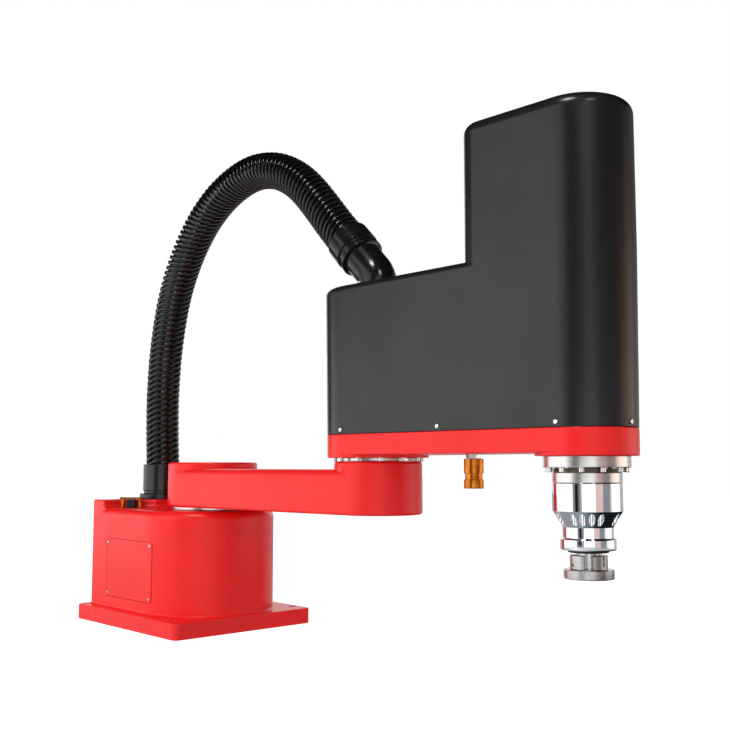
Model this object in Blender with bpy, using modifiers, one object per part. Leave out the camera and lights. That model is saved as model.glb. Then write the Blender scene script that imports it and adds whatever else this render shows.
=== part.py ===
# SCARA robot: base, lower arm, upper arm under a black cover, quill, hose.
# Metres, +Z up. Joint 1 runs along Z through the origin; both arms point to +X.
import math

import bmesh
import bpy
from mathutils import Matrix, Vector

mm = 0.001
gap = 0.3 * mm
running_gap = 0.5 * mm
cutter_over = 5 * mm

# Links and travel
link_one = 325 * mm
link_two = 275 * mm
joint_two_x = link_one
joint_three_x = link_one + link_two
quill_travel = 150 * mm

# Base casting
body_back = -162 * mm
body_front = 76 * mm
body_half = 91 * mm
body_top = 152 * mm
body_edge = 10 * mm
body_corner = 3 * mm
body_foot = 3 * mm
body_wall = 9 * mm
roof_thick = 20 * mm
roof_under = body_top - roof_thick
flange_back = body_back - 11.2 * mm
flange_front = body_front + 5 * mm
flange_half = body_half + 15 * mm
flange_thick = 20 * mm
flange_corner = 8 * mm
flange_edge = 1 * mm

# Anchor bolt holes, set in from the flange's sides
bolt_radius = 4.5 * mm
bolt_spots = (
    (flange_back + 14 * mm, flange_half - 8 * mm),
    (flange_front - 27 * mm, flange_half - 11 * mm),
)

# Raised deck behind joint 1
deck_rise = 11 * mm
deck_top = body_top + deck_rise
deck_edge = 2.5 * mm
deck_side_x = -131 * mm
deck_nose_x = -95 * mm
deck_side_y = 66 * mm
deck_nose_y = 30 * mm
deck_root_corner = 3 * mm
deck_shoulder_corner = 14 * mm
deck_nose_corner = 12 * mm
hose_hole_radius = 16 * mm

# Floor plate in a recess under the casting
floor_thick = 5 * mm
floor_inset = 4 * mm

# Access panel in the base's right side
panel_x = -59.7 * mm
panel_z = 73.3 * mm
panel_long = 116 * mm
panel_tall = 77 * mm
panel_thick = 3 * mm
panel_seam = 0.5 * mm
panel_lip = 7 * mm

# Joint 1 drive
joint_one_gap = 4.5 * mm
ring_one_radius = 54.5 * mm
neck_one_radius = 42 * mm
bore_one_radius = 44 * mm
stub_radius = 22 * mm
stub_long = 19.7 * mm
reducer_one_radius = 56 * mm
reducer_one_tall = 37.4 * mm
motor_one_width = 80 * mm
motor_one_length = 80 * mm
pilot_one = (10 * mm, 9 * mm)

# Lower arm
arm_thick = 49.3 * mm
arm_boss_rise = 8.7 * mm
arm_edge = 4.5 * mm
arm_radius_one = 59.5 * mm
arm_radius_two = 49 * mm
arm_bottom = body_top + joint_one_gap
arm_top = arm_bottom + arm_thick
arm_boss_top = arm_top + arm_boss_rise

# Joint 2 drive
joint_two_gap = 4 * mm
reducer_two_radius = 38 * mm
reducer_two_tall = 41.9 * mm
reducer_two_floor = 14 * mm
ring_two_radius = 41.7 * mm
ring_two_hub_radius = 18 * mm
ring_two_hub_long = 24.7 * mm
ring_two_bore = 9 * mm
motor_two_width = 70 * mm
motor_two_length = 106 * mm
pilot_two_radius = 7 * mm
pilot_two_depth = 16.7 * mm

# Upper arm plate and cover
plate_boss_bottom = arm_boss_top + joint_two_gap
plate_boss_drop = 3 * mm
plate_thick = 22 * mm
plate_edge = 1.2 * mm
plate_radius_two = 56.5 * mm
plate_radius_three = 47 * mm
plate_bottom = plate_boss_bottom + plate_boss_drop
plate_top = plate_bottom + plate_thick
motor_two_bore = 12 * mm
cover_wall = 3.2 * mm
cover_foot = plate_top + gap
hood_tall = 162.5 * mm
ledge_top = plate_top + hood_tall
ledge_edge = 7.5 * mm
cover_flare = 2 * mm
tower_back = joint_three_x - 108.7 * mm
tower_edge = 13 * mm
tower_corner = 21 * mm
tower_room = 24.8 * mm

# Drive frame under the cover
frame_back = joint_three_x - 156 * mm
frame_rise = 32.5 * mm
frame_thick = 8 * mm
frame_inset = 4.8 * mm
frame_corner = 8 * mm
frame_bottom = plate_top + frame_rise
frame_top = frame_bottom + frame_thick
frame_post = (12 * mm, 5 * mm)
rear_posts = (frame_back + 13 * mm, 42 * mm)
front_posts = (joint_three_x + 11 * mm, 35.5 * mm)
shelf_rise = 34 * mm
shelf_thick = 5 * mm
shelf_long = 64 * mm
shelf_wide = 72 * mm
shelf_leg_x = 22 * mm
shelf_bottom = frame_top + shelf_rise
shelf_top = shelf_bottom + shelf_thick
axle_bore = 9 * mm

# Belt drives
seat_large = 26 * mm
seat_three = 15 * mm
seat_four = 13 * mm
pulley_tall = 16 * mm
pulley_flange = 3 * mm
pulley_rim = 1.2 * mm
belt_thick = 1.7 * mm
axle_radius = 6 * mm
belt_four_bottom = plate_top + 8.5 * mm
belt_three_bottom = frame_top + 12 * mm
belt_four_z = (belt_four_bottom, belt_four_bottom + pulley_tall)
belt_three_z = (belt_three_bottom, belt_three_bottom + pulley_tall)
motor_three_x = joint_three_x - 60 * mm
motor_four_x = joint_three_x - 120 * mm
motor_three_width = 56 * mm
motor_three_length = 102 * mm
motor_four_width = 50 * mm
motor_four_length = 78 * mm

# Motor housings: a flange, a body stepped in from it and an end cap stepped in again
motor_flange_thick = 7 * mm
motor_body_step = 2 * mm
motor_cap_step = 4.5 * mm
motor_cap_long = 30 * mm
motor_overlap = 2 * mm

# Quill: bearing, ball spline nut and the plated bell
shaft_radius = 10 * mm
bore_clearance = 0.4 * mm
bearing_radius = 26 * mm
quill_flange_radius = 39.3 * mm
quill_flange_bore = 20 * mm
quill_flange_bottom = plate_boss_bottom - 10.5 * mm
sleeve_radius = 16 * mm
sleeve_top = belt_four_z[1] + 1.5 * mm
nut_radius = 18.9 * mm
nut_long = 48 * mm
nut_bottom = quill_flange_bottom - nut_long
nut_neck = 1 * mm
bell_ring_tall = 13 * mm
bell_radius = 31.4 * mm
bell_top = quill_flange_bottom - running_gap - bell_ring_tall - gap
bell_shoulder = bell_top - 25 * mm
bell_neck_radius = 22.6 * mm
bell_neck_top = bell_shoulder - 14.2 * mm
bell_rim_radius = 24.8 * mm
bell_rim_top = bell_neck_top - 10 * mm
bell_bottom = bell_rim_top - 10.5 * mm
bell_rim_edge = 0.5 * mm
bell_floor = 2 * mm
seal_bore = 14.8 * mm
seal_drop = 2.2 * mm
seal_tall = 7.2 * mm

# Flutes round the bell's cone: oval hollows that lie along its slope
flute_count = 18
flute_start = math.radians(15)
flute_wide = 5.8 * mm
flute_reach = 6.8 * mm
flute_lip = 1.2 * mm

# Ball screw nut above the drive frame
screw_nut_radius = 18 * mm
screw_nut_flange = 27 * mm
screw_nut_step = 7 * mm
screw_nut_drop = 4 * mm
screw_nut_top = belt_three_z[1] + 6 * mm

# Shaft with its spline grooves, stop collar and tool end
spline_count = 3
spline_radius = 1.6 * mm
tool_gap = 4.5 * mm
hub_radius = 16.8 * mm
hub_tall = 12.5 * mm
hub_top = bell_bottom - tool_gap
hub_side = math.radians(-55)
hub_slit = (16 * mm, 3 * mm)
hub_groove = (9 * mm, 1.4 * mm)
hub_groove_turn = math.radians(44)
tool_flange_radius = 22.4 * mm
tool_flange_thick = 8.4 * mm
tool_flange_top = hub_top - hub_tall
tool_flange_bottom = tool_flange_top - tool_flange_thick
tool_hole_count = 4
tool_hole_circle = 16.5 * mm
tool_hole_radius = 2 * mm
tool_hole_deep = 6 * mm
shaft_bottom = tool_flange_bottom + 3.4 * mm
stop_spare = 37 * mm
stop_tall = 10 * mm
stop_below_top = 5 * mm
stop_bottom = screw_nut_top + quill_travel + stop_spare
shaft_top = stop_bottom + stop_tall + stop_below_top
tower_top = shaft_top + tower_room

# Lower hose fitting
fitting_x = -129 * mm
fitting_flange_radius = 32 * mm
fitting_flange_top = deck_top + gap + 7.2 * mm
fitting_bore = 16 * mm
fitting_edge = 0.8 * mm
collar_neck = 3.2 * mm
collar_neck_radius = 26 * mm
collar_long = 38 * mm
collar_radius = 27.3 * mm
collar_edge = 1.2 * mm
collar_step = 1 * mm

# Upper hose fitting: a ring on the cover and an elbow above joint 2
upper_flange_radius = 29 * mm
upper_flange_bore = 15 * mm
elbow_foot = ledge_top + 4.5 * mm
elbow_radius = 22 * mm
elbow_end = 34 * mm
bend_z = ledge_top + 16.5 * mm
bend_angle = math.radians(45)
bend_radius = 26 * mm
bend_steps = 6
upper_collar_radius = 26.5 * mm
upper_collar_neck = 1.2 * mm
upper_collar_end = 71 * mm
hose_inside = 57 * mm
seat_back = 1 * mm

# Conduit hose: its route's x and z in millimetres, with y always 0
hose_radius = 24.5 * mm
hose_pitch = 44 * mm
hose_route = (
    (-129, 184), (-129, 216), (-131.5, 264), (-131.5, 320), (-124, 385), (-106, 450),
    (-78, 502), (-40, 545), (2, 574), (47, 591), (90, 596.5), (132, 590),
    (168, 574), (198, 552), (226, 524), (250, 498), (271.3, 476.2), (284.7, 462.8),
)

# Muffler under the upper arm
muffler_x = joint_two_x + 140 * mm
muffler_neck_radius = 7.7 * mm
muffler_neck_long = 4.2 * mm
muffler_radius = 9.9 * mm
muffler_long = 29.7 * mm
muffler_edge = 0.6 * mm
muffler_groove_deep = 1.2 * mm
muffler_groove = (9 * mm, 15 * mm)

# Air port block on the base
port_spot = (-111.5 * mm, -59.4 * mm)
port_turn = math.radians(45)
port_long = 31 * mm
port_wide = 9.5 * mm
port_block_long = 12 * mm
port_block_tall = 11.4 * mm
port_plate_thick = 2.8 * mm
port_post_radius = 3.2 * mm
port_post_margin = 3.6 * mm

# Connectors on the back of the base: name, radius, y, z, length, all but the name in mm
rear_fittings = (
    ("power_connector", 14, -38, 84, 12),
    ("signal_connector", 11, 0, 84, 11),
    ("air_fitting_upper", 5.5, 36, 98, 13),
    ("air_fitting_lower", 5.5, 36, 72, 13),
)
rear_nose_share = 0.72

# How far a joined solid stands inside the side of its neighbour, straight or round
flush = 0.2 * mm
shy = 0.5 * mm
barely = 0.01 * mm


def linear(channel):
    """One sRGB channel from 0 to 255 as the linear value a shader takes."""
    part = channel / 255
    return part / 12.92 if part <= 0.04045 else ((part + 0.055) / 1.055) ** 2.4


for old in list(bpy.data.objects):
    bpy.data.objects.remove(old, do_unlink=True)

parts = bpy.data.collections.new("scara_robot")
cutters = bpy.data.collections.new("cutters")
bpy.context.scene.collection.children.link(parts)
bpy.context.scene.collection.children.link(cutters)

red_paint = ("d8262b", 0.36, 0.0)
black_satin = ("2b2b2d", 0.42, 0.0)
black_rubber = ("17181a", 0.5, 0.0)
dark_metal = ("34363a", 0.45, 0.7)
satin_steel = ("b9b9ba", 0.32, 1.0)
chrome = ("dcdde0", 0.08, 1.0)
gold_brass = ("b8742c", 0.3, 1.0)
plain_steel = ("8f9194", 0.38, 1.0)
belt_rubber = ("1c1c1c", 0.75, 0.0)


def give(item, look):
    """Put an object into the robot's collection with a material of its own."""
    colour, rough, metal = look
    material = bpy.data.materials.new(item.name)
    material.use_nodes = True
    shader = material.node_tree.nodes["Principled BSDF"]
    values = [linear(int(colour[at:at + 2], 16)) for at in (0, 2, 4)]
    shader.inputs["Base Color"].default_value = (*values, 1.0)
    shader.inputs["Roughness"].default_value = rough
    shader.inputs["Metallic"].default_value = metal
    item.data.materials.clear()
    item.data.materials.append(material)
    parts.objects.link(item)
    return item


def as_tool(item):
    """Put an object among the cutters."""
    cutters.objects.link(item)
    item.hide_render = True
    item.display_type = "WIRE"
    return item


def boolean(target, tool, operation):
    """Cut from a target, or join to it, the tool's volume."""
    change = target.modifiers.new(tool.name, "BOOLEAN")
    change.operation = operation
    change.solver = "EXACT"
    change.object = tool
    return target


def cut(target, *tools):
    for tool in tools:
        boolean(target, as_tool(tool), "DIFFERENCE")
    return target


def join(target, *tools):
    for tool in tools:
        boolean(target, as_tool(tool), "UNION")
    return target


def mesh_object(name, mesh, at=(0, 0, 0)):
    """An object of a mesh, round stretches shaded smooth and corners sharp."""
    mesh.shade_smooth()
    mesh.set_sharp_from_angle(angle=math.radians(35))
    item = bpy.data.objects.new(name, mesh)
    item.location = at
    return item


def faced_mesh(name, points, faces):
    """A mesh from points and faces, its faces turned outward."""
    mesh = bpy.data.meshes.new(name)
    mesh.from_pydata([tuple(point) for point in points], [], faces)
    work = bmesh.new()
    work.from_mesh(mesh)
    bmesh.ops.recalc_face_normals(work, faces=work.faces)
    work.to_mesh(mesh)
    work.free()
    return mesh


def rounded(corners, radii, inset=0.0, steps=6):
    """A closed outline from corners in counter-clockwise order, moved inward and rounded."""
    count = len(corners)
    steps = steps if isinstance(steps, tuple) else (steps,) * count
    points = [Vector(corner) for corner in corners]
    normals = []
    for index in range(count):
        along = (points[(index + 1) % count] - points[index]).normalized()
        normals.append(Vector((-along.y, along.x)))
    outline = []
    for index in range(count):
        before = normals[index - 1]
        after = normals[index]
        spread = before + after
        spread /= spread.dot(after)
        corner = points[index] + spread * inset
        turn = before.cross(after)
        radius = radii[index] - inset if turn > 0 else radii[index] + inset
        radius = max(radius, 0.2 * mm)
        centre = corner + (spread if turn > 0 else -spread) * radius
        start = math.atan2(*reversed((-before if turn > 0 else before)))
        sweep = math.atan2(turn, before.dot(after))
        for step in range(steps[index] + 1):
            angle = start + sweep * step / steps[index]
            outline.append((centre.x + radius * math.cos(angle), centre.y + radius * math.sin(angle)))
    return outline


def loft(name, section, levels):
    """Skin stacked outlines: section(inset) gives one, levels list (z, inset)."""
    points = []
    for height, inset in levels:
        points += [(x, y, height) for x, y in section(inset)]
    size = len(points) // len(levels)
    faces = [tuple(reversed(range(size))), tuple(range(len(points) - size, len(points)))]
    for row in range(len(levels) - 1):
        low = row * size
        high = low + size
        for index in range(size):
            after = (index + 1) % size
            faces.append((low + index, low + after, high + after, high + index))
    return mesh_object(name, faced_mesh(name, points, faces))


def edged(bottom, top, bottom_edge=0.0, top_edge=0.0, steps=3, inset=0.0):
    """Levels of a loft with rounded edges; a negative bottom edge flares out into a foot."""
    levels = []
    foot = abs(bottom_edge)
    if foot:
        for step in range(steps + 1):
            angle = math.pi / 2 * step / steps
            side = foot * (1 - math.sin(angle))
            levels.append((bottom + foot * (1 - math.cos(angle)), inset + math.copysign(side, bottom_edge)))
    else:
        levels.append((bottom, inset))
    if top_edge:
        for step in range(steps + 1):
            angle = math.pi / 2 * step / steps
            levels.append((top - top_edge * (1 - math.sin(angle)), inset + top_edge * (1 - math.cos(angle))))
    else:
        levels.append((top, inset))
    return levels


def box_corners(x_low, x_high, y_low, y_high):
    return ((x_low, y_low), (x_high, y_low), (x_high, y_high), (x_low, y_high))


def link_half(x, x_one, radius_one, x_two, radius_two):
    """Half the width of a tapered link at x."""
    lean = (radius_one - radius_two) / (x_two - x_one)
    return (radius_one + (x_one - x) * lean) / math.sqrt(1 - lean * lean)


def link_outline(x_one, radius_one, x_two, radius_two, back=None, corner=0.0, steps=8):
    """Outline of a tapered link, round at both ends or cut square at the back."""
    square = back is not None
    low = back if square else x_one - radius_one
    high = x_two + radius_two
    size = (x_one, radius_one, x_two, radius_two)
    half_low = link_half(low, *size)
    half_high = link_half(high, *size)
    corners = ((low, -half_low), (high, -half_high), (high, half_high), (low, half_low))
    first = corner if square else radius_one - barely
    last = radius_two - barely
    rear_steps = 3 if square else steps
    counts = (rear_steps, steps, steps, rear_steps)
    return lambda inset: rounded(corners, (first, last, last, first), inset, counts)


def round_outline(x, y, radius, steps=28):
    turn = 2 * math.pi / steps
    return lambda inset: [
        (x + (radius - inset) * math.cos(turn * step), y + (radius - inset) * math.sin(turn * step))
        for step in range(steps)
    ]


def turned(name, profile, at=(0, 0, 0), steps=24, closed=False):
    """Turn a profile of (radius, height) about Z; an open one starts and ends on the axis."""
    mesh = bpy.data.meshes.new(name)
    points = [(radius, 0, height) for radius, height in profile]
    edges = [(index, index + 1) for index in range(len(points) - 1)]
    if closed:
        edges.append((len(points) - 1, 0))
    mesh.from_pydata(points, edges, [])
    item = bpy.data.objects.new(name, mesh)
    item.location = at
    screw = item.modifiers.new("turn", "SCREW")
    screw.steps = steps
    screw.render_steps = steps
    screw.use_merge_vertices = True
    screw.merge_threshold = 0.01 * mm
    screw.use_smooth_shade = True
    return item


def disc(name, radius, bottom, top, at=(0, 0, 0), steps=24, edge=0.0):
    """A cylinder about Z, its rims broken by a small edge where asked."""
    mesh = bpy.data.meshes.new(name)
    work = bmesh.new()
    bmesh.ops.create_cone(
        work, cap_ends=True, segments=steps, radius1=radius, radius2=radius, depth=top - bottom,
        matrix=Matrix.Translation((0, 0, (top + bottom) / 2)),
    )
    work.to_mesh(mesh)
    work.free()
    item = mesh_object(name, mesh, at)
    if edge:
        break_edges(item, edge)
    return item


def break_edges(item, width):
    """A one-step bevel on a solid's sharp edges."""
    bevel = item.modifiers.new("edge", "BEVEL")
    bevel.width = width
    bevel.segments = 1
    bevel.limit_method = "ANGLE"
    return item


def sleeve(name, inner, outer, bottom, top, at=(0, 0, 0), steps=20, edge=0.0):
    """A round piece about Z with a bore."""
    profile = [(outer - edge, top), (outer, top - edge), (outer, bottom + edge), (outer - edge, bottom)]
    if not edge:
        profile = [(outer, top), (outer, bottom)]
    profile += [(inner, bottom), (inner, top)]
    return turned(name, profile, at, steps, closed=True)


def block(name, size, centre, edge=0.0, turn=0.0):
    """A box by its size and centre, its edges broken where asked."""
    mesh = bpy.data.meshes.new(name)
    work = bmesh.new()
    bmesh.ops.create_cube(work, size=1, matrix=Matrix.Diagonal((*size, 1)))
    work.to_mesh(mesh)
    work.free()
    item = mesh_object(name, mesh, centre)
    item.rotation_euler.z = turn
    if edge:
        break_edges(item, edge)
    return item


def smooth_curve(points, pitch):
    """Points at about the given pitch along a smooth curve through the ones given."""
    first = points[0] * 2 - points[1]
    last = points[-1] * 2 - points[-2]
    knots = [first, *points, last]
    fine = []
    substeps = 16
    for index in range(1, len(knots) - 2):
        before, start, end, after = knots[index - 1:index + 3]
        for step in range(substeps):
            part = step / substeps
            line = 2 * start + (end - before) * part
            bow = (2 * before - 5 * start + 4 * end - after) * part ** 2
            twist = (3 * start - before - 3 * end + after) * part ** 3
            fine.append((line + bow + twist) / 2)
    fine.append(points[-1])
    lengths = [0.0]
    for start, end in zip(fine, fine[1:]):
        lengths.append(lengths[-1] + (end - start).length)
    count = round(lengths[-1] / pitch)
    picked = []
    for step in range(count + 1):
        wanted = lengths[-1] * step / count
        picked.append(min(zip(lengths, fine), key=lambda pair: abs(pair[0] - wanted))[1])
    return picked


def tube(name, route, radius, sides, at=(0, 0, 0)):
    """A round bar along a route of points, closed at both ends."""
    curve = bpy.data.curves.new(name, "CURVE")
    curve.dimensions = "3D"
    curve.bevel_depth = radius
    curve.bevel_resolution = sides
    curve.use_fill_caps = True
    spline = curve.splines.new("POLY")
    spline.points.add(len(route) - 1)
    for point, place in zip(spline.points, route):
        point.co = (*place, 1)
    item = bpy.data.objects.new(name, curve)
    item.location = at
    return item


def motor(name, x, width, face, length, side, pilot=None):
    """A servo motor: flange, square body, cap; side is +1 where it stands above its face."""
    plate = (width, width, motor_flange_thick)
    item = block(name, plate, (x, 0, face + side * motor_flange_thick / 2), 1 * mm)
    body_long = length - motor_cap_long
    body_wide = width - 2 * motor_body_step
    cap_wide = width - 2 * motor_cap_step
    body_middle = face + side * (body_long / 2 + motor_overlap)
    cap_middle = face + side * (length - motor_cap_long / 2)
    join(
        item,
        block(name + "_body", (body_wide, body_wide, body_long), (x, 0, body_middle), 3 * mm),
        block(name + "_cap", (cap_wide, cap_wide, motor_cap_long), (x, 0, cap_middle), 4 * mm),
    )
    if pilot:
        reach, radius = pilot
        ends = sorted((face - side * reach, face + side * motor_overlap))
        join(item, disc(name + "_pilot", radius, *ends, at=(x, 0, 0)))
    return item


def pulley_groove(seat, levels):
    """Profile of a flanged belt pulley's outside, top to bottom."""
    bottom, top = levels
    rim = seat + pulley_flange
    return [
        (rim, top), (rim, top - pulley_rim), (seat, top - pulley_rim),
        (seat, bottom + pulley_rim), (rim, bottom + pulley_rim), (rim, bottom),
    ]


def bored_pulley(name, seat, levels, bore):
    """A belt pulley on a sleeve about joint 3's axis."""
    profile = [*pulley_groove(seat, levels), (bore, levels[0]), (bore, levels[1])]
    return turned(name, profile, (joint_three_x, 0, 0), 20, closed=True)


def axle_pulley(name, seat, levels, x, axle_top):
    """A belt pulley with the motor axle that carries it."""
    head = [(0, axle_top), (axle_radius, axle_top), (axle_radius, levels[1])]
    return turned(name, [*head, *pulley_groove(seat, levels), (0, levels[0])], (x, 0, 0), 16)


def belt(name, x_small, seat_small, levels):
    """A flat belt round the large pulley on joint 3's axis and a motor's pulley."""
    bottom = levels[0] + pulley_rim + gap
    top = levels[1] - pulley_rim - gap
    inner = (x_small, seat_small + gap, joint_three_x, seat_large + gap)
    outer = (x_small, seat_small + gap + belt_thick, joint_three_x, seat_large + gap + belt_thick)
    band = loft(name, link_outline(*outer, steps=6), [(bottom, 0), (top, 0)])
    hollow = loft(name + "_hollow", link_outline(*inner, steps=6), [(bottom - gap, 0), (top + gap, 0)])
    return cut(band, hollow)


# Base casting
flange_corners = box_corners(flange_back, flange_front, -flange_half, flange_half)
body_corners = box_corners(body_back, body_front, -body_half, body_half)
body_radii = (body_corner, body_half - barely, body_half - barely, body_corner)
deck_half = (
    (body_back, -body_half, body_corner), (deck_side_x, -body_half, deck_root_corner),
    (deck_side_x, -deck_side_y, deck_shoulder_corner), (deck_nose_x, -deck_nose_y, deck_nose_corner),
)
deck_corners = [(x, y) for x, y, radius in deck_half]
deck_corners += [(x, -y) for x, y, radius in reversed(deck_half)]
deck_radii = [radius for x, y, radius in deck_half]
deck_radii += reversed(deck_radii)


def flange_outline(inset):
    return rounded(flange_corners, (flange_corner,) * 4, inset, 3)


def body_outline(inset):
    return rounded(body_corners, body_radii, inset, (3, 10, 10, 3))


def deck_outline(inset):
    return rounded(deck_corners, deck_radii, inset, 3)


base_casting = loft("base_casting", flange_outline, edged(0, flange_thick, 0, flange_edge, 1))
column = loft("base_column", body_outline, [
    (flange_thick / 2, -body_foot),
    *edged(flange_thick - barely, body_top, -body_foot, body_edge, 3),
])
deck_foot = body_top - body_edge + flange_edge
deck = loft("base_deck", deck_outline, edged(deck_foot, deck_top, 0, deck_edge, 2, flush))
join(base_casting, column, deck)
floor_hollow = floor_thick + gap
cut(
    base_casting,
    loft("base_cavity", body_outline, [(-cutter_over, body_wall), (roof_under, body_wall)]),
    loft("floor_recess", body_outline, [(-cutter_over, floor_inset), (floor_hollow, floor_inset)]),
    disc("bore_one", bore_one_radius, roof_under - cutter_over, body_top + cutter_over),
    disc(
        "hose_hole", hose_hole_radius, roof_under - cutter_over, deck_top + cutter_over,
        (fitting_x, 0, 0), 16,
    ),
)
pocket_size = (panel_long + 2 * panel_seam, 2 * (panel_thick + gap), panel_tall + 2 * panel_seam)
opening_size = (panel_long - 2 * panel_lip, 8 * body_wall, panel_tall - 2 * panel_lip)
cut(
    base_casting,
    block("panel_pocket", pocket_size, (panel_x, -body_half, panel_z)),
    block("panel_opening", opening_size, (panel_x, -body_half, panel_z)),
)
for bolt_x, bolt_y in bolt_spots:
    for sign in (-1, 1):
        name = "bolt_hole_%d_%d" % (bolt_x > 0, sign > 0)
        top = flange_thick + body_foot + cutter_over
        cut(base_casting, disc(name, bolt_radius, -cutter_over, top, (bolt_x, sign * bolt_y, 0), 12))
give(base_casting, red_paint)

plate_inset = floor_inset + gap
floor_plate = loft("base_floor_plate", body_outline, [(0, plate_inset), (floor_thick, plate_inset)])
give(floor_plate, plain_steel)

panel_middle = (panel_x, -body_half + panel_thick / 2, panel_z)
panel = block("base_access_panel", (panel_long, panel_thick, panel_tall), panel_middle, 0.5 * mm)
give(panel, red_paint)

# Joint 1 drive
reducer_one_bottom = roof_under - gap - reducer_one_tall
motor_one = motor(
    "j1_motor", 0, motor_one_width, reducer_one_bottom - gap, motor_one_length, -1, pilot_one
)
give(motor_one, dark_metal)
reducer_bore = stub_radius + 2 * mm
reducer_one = sleeve("j1_reducer", reducer_bore, reducer_one_radius, reducer_one_bottom, roof_under - gap)
give(reducer_one, plain_steel)
ring_one_top = arm_bottom - gap
neck_one_bottom = roof_under + 2 * mm
ring_one = turned("j1_output_ring", [
    (0, ring_one_top), (ring_one_radius, ring_one_top), (ring_one_radius, body_top + running_gap),
    (neck_one_radius, body_top + running_gap), (neck_one_radius, neck_one_bottom),
    (stub_radius, neck_one_bottom), (stub_radius, roof_under - stub_long), (0, roof_under - stub_long),
], steps=24)
give(ring_one, satin_steel)

# Air port block beside the deck
port_foot = body_top + gap
port_split = port_foot + port_block_tall
port_block = block(
    "port_block", (port_block_long, port_wide, port_block_tall - gap),
    (*port_spot, port_foot + (port_block_tall - gap) / 2), 0.5 * mm, port_turn,
)
give(port_block, black_rubber)
port_plate = block(
    "port_plate", (port_long, port_wide, port_plate_thick),
    (*port_spot, port_split + port_plate_thick / 2), 0.6 * mm, port_turn,
)
give(port_plate, gold_brass)
for label, sign in (("rear", -1), ("front", 1)):
    reach = sign * (port_long / 2 - port_post_margin)
    place = (port_spot[0] + reach * math.cos(port_turn), port_spot[1] + reach * math.sin(port_turn), 0)
    post = disc("port_post_" + label, port_post_radius, port_foot, port_split - gap, place, 16)
    give(post, gold_brass)

# Plain bulkhead connectors on the back of the base
for name, radius, y, z, length in rear_fittings:
    nose = rear_nose_share * radius * mm
    fitting = turned(name, [
        (0, length * mm), (nose, length * mm), (nose, 0.45 * length * mm),
        (radius * mm, 0.4 * length * mm), (radius * mm, gap), (0, gap),
    ], (body_back, y * mm, z * mm), 16)
    fitting.rotation_euler.y = -math.pi / 2
    give(fitting, gold_brass if name.startswith("air") else dark_metal)

# Lower hose fitting
fitting_flange = sleeve(
    "hose_flange_lower", fitting_bore, fitting_flange_radius, deck_top + gap, fitting_flange_top,
    (fitting_x, 0, 0), 20, fitting_edge,
)
give(fitting_flange, black_satin)
hose_bore = hose_radius + bore_clearance


def collar(name, outer, neck, levels, place):
    """A hose collar: a neck, a sleeve and a wide bore the hose sits in."""
    bottom, shoulder, seat, top = levels
    profile = [
        (outer - collar_edge, top), (outer, top - collar_edge), (outer, shoulder + collar_step),
        (outer - collar_step, shoulder), (neck, shoulder), (neck, bottom),
        (fitting_bore, bottom), (fitting_bore, seat), (hose_bore, seat), (hose_bore, top),
    ]
    return turned(name, profile, place, 20, closed=True)


collar_bottom = fitting_flange_top + gap
collar_shoulder = collar_bottom + collar_neck
hose_start = hose_route[0][1] * mm
lower_levels = (collar_bottom, collar_shoulder, hose_start - seat_back, collar_shoulder + collar_long)
collar_low = collar(
    "hose_collar_lower", collar_radius, collar_neck_radius, lower_levels, (fitting_x, 0, 0)
)
give(collar_low, black_satin)

# Conduit hose from the base's deck to the elbow above joint 2
hose_points = smooth_curve([Vector((x, 0, z)) * mm for x, z in hose_route], hose_pitch)
hose = tube("conduit_hose", hose_points, hose_radius, 3)
give(hose, black_rubber)

# Lower arm
arm_size = (0, arm_radius_one, joint_two_x, arm_radius_two)
lower_arm = loft("lower_arm", link_outline(*arm_size), edged(arm_bottom, arm_top, arm_edge, arm_edge, 2))
for name, x, radius in (("one", 0, arm_radius_one), ("two", joint_two_x, arm_radius_two)):
    levels = edged(arm_bottom + 2 * arm_edge, arm_boss_top, 0, arm_edge, 2, shy)
    join(lower_arm, loft("arm_boss_" + name, round_outline(x, 0, radius), levels))
reducer_two_bottom = arm_boss_top - gap - reducer_two_tall
cut(lower_arm, disc(
    "reducer_pocket", reducer_two_radius + gap, reducer_two_bottom - gap, arm_boss_top + cutter_over,
    (joint_two_x, 0, 0), 28,
))
give(lower_arm, red_paint)

# Joint 2 drive
reducer_two_top = arm_boss_top - gap
reducer_two_inner = ring_two_hub_radius + 2 * mm
reducer_two = turned("j2_reducer", [
    (reducer_two_radius, reducer_two_top), (reducer_two_radius, reducer_two_bottom),
    (0, reducer_two_bottom), (0, reducer_two_bottom + reducer_two_floor),
    (reducer_two_inner, reducer_two_bottom + reducer_two_floor), (reducer_two_inner, reducer_two_top),
], (joint_two_x, 0, 0), closed=True)
give(reducer_two, plain_steel)
ring_two_top = plate_boss_bottom - gap
ring_two_bottom = arm_boss_top + running_gap
hub_two_bottom = ring_two_bottom - ring_two_hub_long
ring_two = turned("j2_output_ring", [
    (ring_two_radius, ring_two_top), (ring_two_radius, ring_two_bottom),
    (ring_two_hub_radius, ring_two_bottom), (ring_two_hub_radius, hub_two_bottom),
    (ring_two_bore, hub_two_bottom), (ring_two_bore, ring_two_top),
], (joint_two_x, 0, 0), 24, closed=True)
give(ring_two, satin_steel)

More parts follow.
